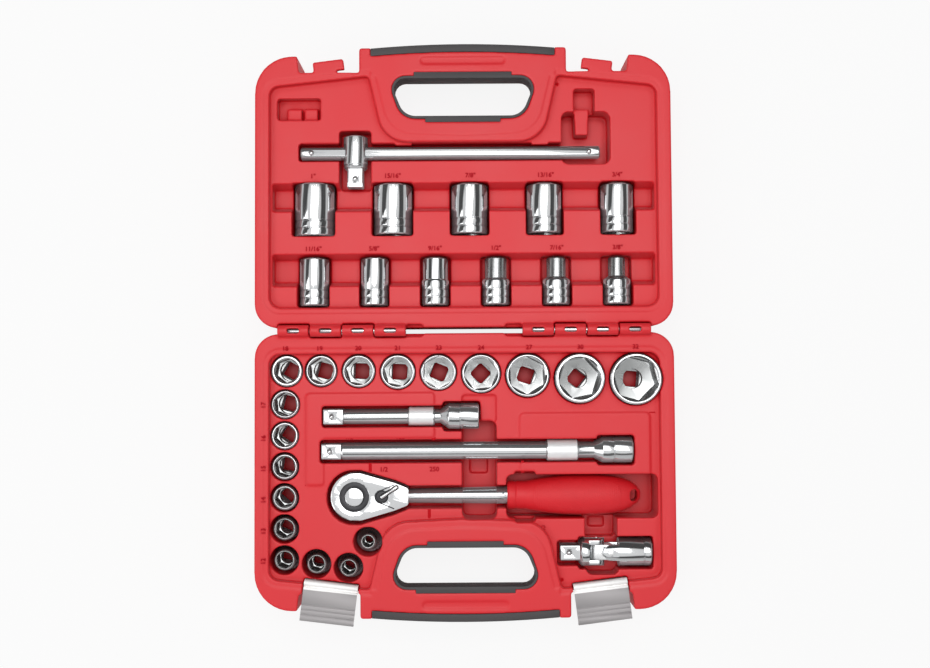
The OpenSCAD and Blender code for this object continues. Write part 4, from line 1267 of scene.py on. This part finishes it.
@dataclass
class Studio:
    """Floor, lamps, world and camera.

    Attributes:
        focal_px: Focal length of the camera in picture points, of which width_px go across.
        tilt: Degrees that it leans from straight down.
        roll: Degrees that it turns about its own axis.
        sky: Brightness of the even light.
        sides: Height and brightness of the bands that steel mirrors at the sides.
        far: The same beyond the lid.
        near: The same before the base.
    """

    focal_px: float = 1060.0
    width_px: float = 930.0
    position: Triple = (0.00065, -0.0343155, 0.8955)
    tilt: float = 2.215
    roll: float = -0.35
    sky: float = 0.56
    sides: Plan = (
        (0.0, 0.75), (0.3, 0.7), (0.38, 0.06), (0.72, 0.03), (0.8, 0.9), (1.0, 1.0))
    far: Plan = (
        (0.0, 0.3), (0.2, 0.2), (0.3, 0.04), (0.76, 0.03), (0.82, 0.95), (1.0, 1.0))
    near: Plan = (
        (0.0, 0.7), (0.58, 0.62), (0.64, 0.05), (0.78, 0.05), (0.84, 0.95), (1.0, 1.0))

    def floor(self) -> None:
        """Lays a plain white floor that keeps a light shadow."""
        bm = bmesh.new()
        bmesh.ops.create_grid(bm, x_segments=1, y_segments=1, size=3.0)
        obj = placed("floor", finished(bm, "floor", smooth=False))
        obj.location = (0.0, 0.0, -0.0002)
        s = Surface("floor_white", (0.82, 0.82, 0.82))
        s.shader.inputs["Roughness"].default_value = 0.9
        glow = s.add("Emission", {"Color": (0.985, 0.985, 0.985, 1.0), "Strength": 1.0})
        share = s.maths("MULTIPLY", s.add("LightPath").outputs["Is Camera Ray"], 0.88)
        mixed = s.add("MixShader", {0: share, 1: s.shader.outputs[0], 2: glow.outputs[0]})
        s.link(mixed.outputs[0], s.tree.nodes["Material Output"], "Surface")
        dress(obj, s.material)
        obj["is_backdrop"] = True

    def lamp(self, name: str, place: Triple, size: tuple[float, float], power: float) -> None:
        """Hangs a soft panel that faces the middle of the case.

        Args:
            name: Name of the lamp.
            place: Where it hangs.
            size: Width and height of the panel.
            power: Its power in watts.
        """
        light = bpy.data.lights.new(name, "AREA")
        light.shape = "RECTANGLE"
        light.size, light.size_y = size
        light.energy = power
        obj = placed(name, light)
        obj.location = place
        obj.rotation_euler = (-Vector(place)).to_track_quat("-Z", "Y").to_euler()

    def bands(self, g: Graph, height: Socket, stops: Plan) -> Socket:
        """Light and dark bands of the studio by height.

        Args:
            g: The world's graph.
            height: Socket with the height of the direction, 1 straight up.
            stops: Pairs of height and brightness.

        Returns:
            The brightness as a colour's socket.
        """
        ramp = g.add("ValToRGB", {0: height})
        elements = ramp.color_ramp.elements
        while len(elements) < len(stops):
            elements.new(0.5)
        for element, (at, value) in zip(elements, stops):
            element.position = at
            element.color = (value, value, value, 1.0)
        return ramp.outputs[0]

    def world(self) -> None:
        """Sets an even sky for the light and a banded one for the reflections."""
        world = bpy.data.worlds.new("studio")
        bpy.context.scene.world = world
        world.use_nodes = True
        g = Graph(world.node_tree)
        parts = g.add("SeparateXYZ", {0: g.add("TexCoord").outputs["Generated"]}).outputs
        sides, far, near = (self.bands(g, parts["Z"], stops) for stops in (self.sides, self.far, self.near))
        to_far = g.between(parts["Y"], 0.35, 0.5, 0.0, 1.0)
        to_near = g.between(parts["Y"], -0.35, -0.5, 0.0, 1.0)
        banded = g.add("Mix", {0: to_far, 6: sides, 7: far}, data_type="RGBA").outputs[2]
        banded = g.add("Mix", {0: to_near, 6: banded, 7: near}, data_type="RGBA").outputs[2]
        light = g.add("Background", {"Color": (1.0, 1.0, 1.0, 1.0), "Strength": self.sky})
        mirrored = g.add("Background", {"Color": banded, "Strength": 1.0})
        glossy = g.add("LightPath").outputs["Is Glossy Ray"]
        mixed = g.add("MixShader", {0: glossy, 1: light.outputs[0], 2: mirrored.outputs[0]})
        g.link(mixed.outputs[0], world.node_tree.nodes["World Output"], "Surface")

    def camera(self) -> None:
        """Hangs the camera almost straight above the open case."""
        data = bpy.data.cameras.new("camera")
        data.sensor_width = 36.0
        data.lens = self.focal_px / self.width_px * 36.0
        data.clip_end = 20.0
        obj = placed("camera", data)
        obj.matrix_world = (Matrix.Translation(self.position) @ Matrix.Rotation(math.radians(self.tilt), 4, "X")
                            @ Matrix.Rotation(math.radians(self.roll), 4, "Z"))
        bpy.context.scene.camera = obj

    def build(self) -> None:
        """Sets up the whole studio."""
        self.floor()
        self.world()
        self.lamp("overhead", (0.0, 0.25, 1.7), (1.3, 1.1), 12.0)
        self.lamp("side", (-1.3, -0.5, 1.1), (0.9, 0.9), 5.0)
        self.camera()
        bpy.context.scene.view_settings.view_transform = "Standard"


def main(frame: dict, cad_box: tuple) -> None:
    """Builds the set.

    Args:
        cad_box: Lowest and highest corner of the solids; not used.
    """
    cad = frame["nodes"]
    wardrobe = Wardrobe(Palette())
    Studio().build()
    for half in Half:
        CaseHalf(cad, half).build(wardrobe)
    Numbers().build(wardrobe["number"])
    StepShadows().build(wardrobe["step"])
    Latches(cad).build(wardrobe)
    Sockets(cad).build(wardrobe)
    Bars(cad).build(wardrobe)
    Ratchet(cad).build(wardrobe)
    UniversalJoint(cad).build(wardrobe)
    bpy.context.view_layer.update()
    LOG.info("all pieces built")


if __name__ == "__main__":
    logging.basicConfig(level=logging.INFO, format="%(name)s: %(message)s")
    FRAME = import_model()
    main(FRAME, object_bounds())
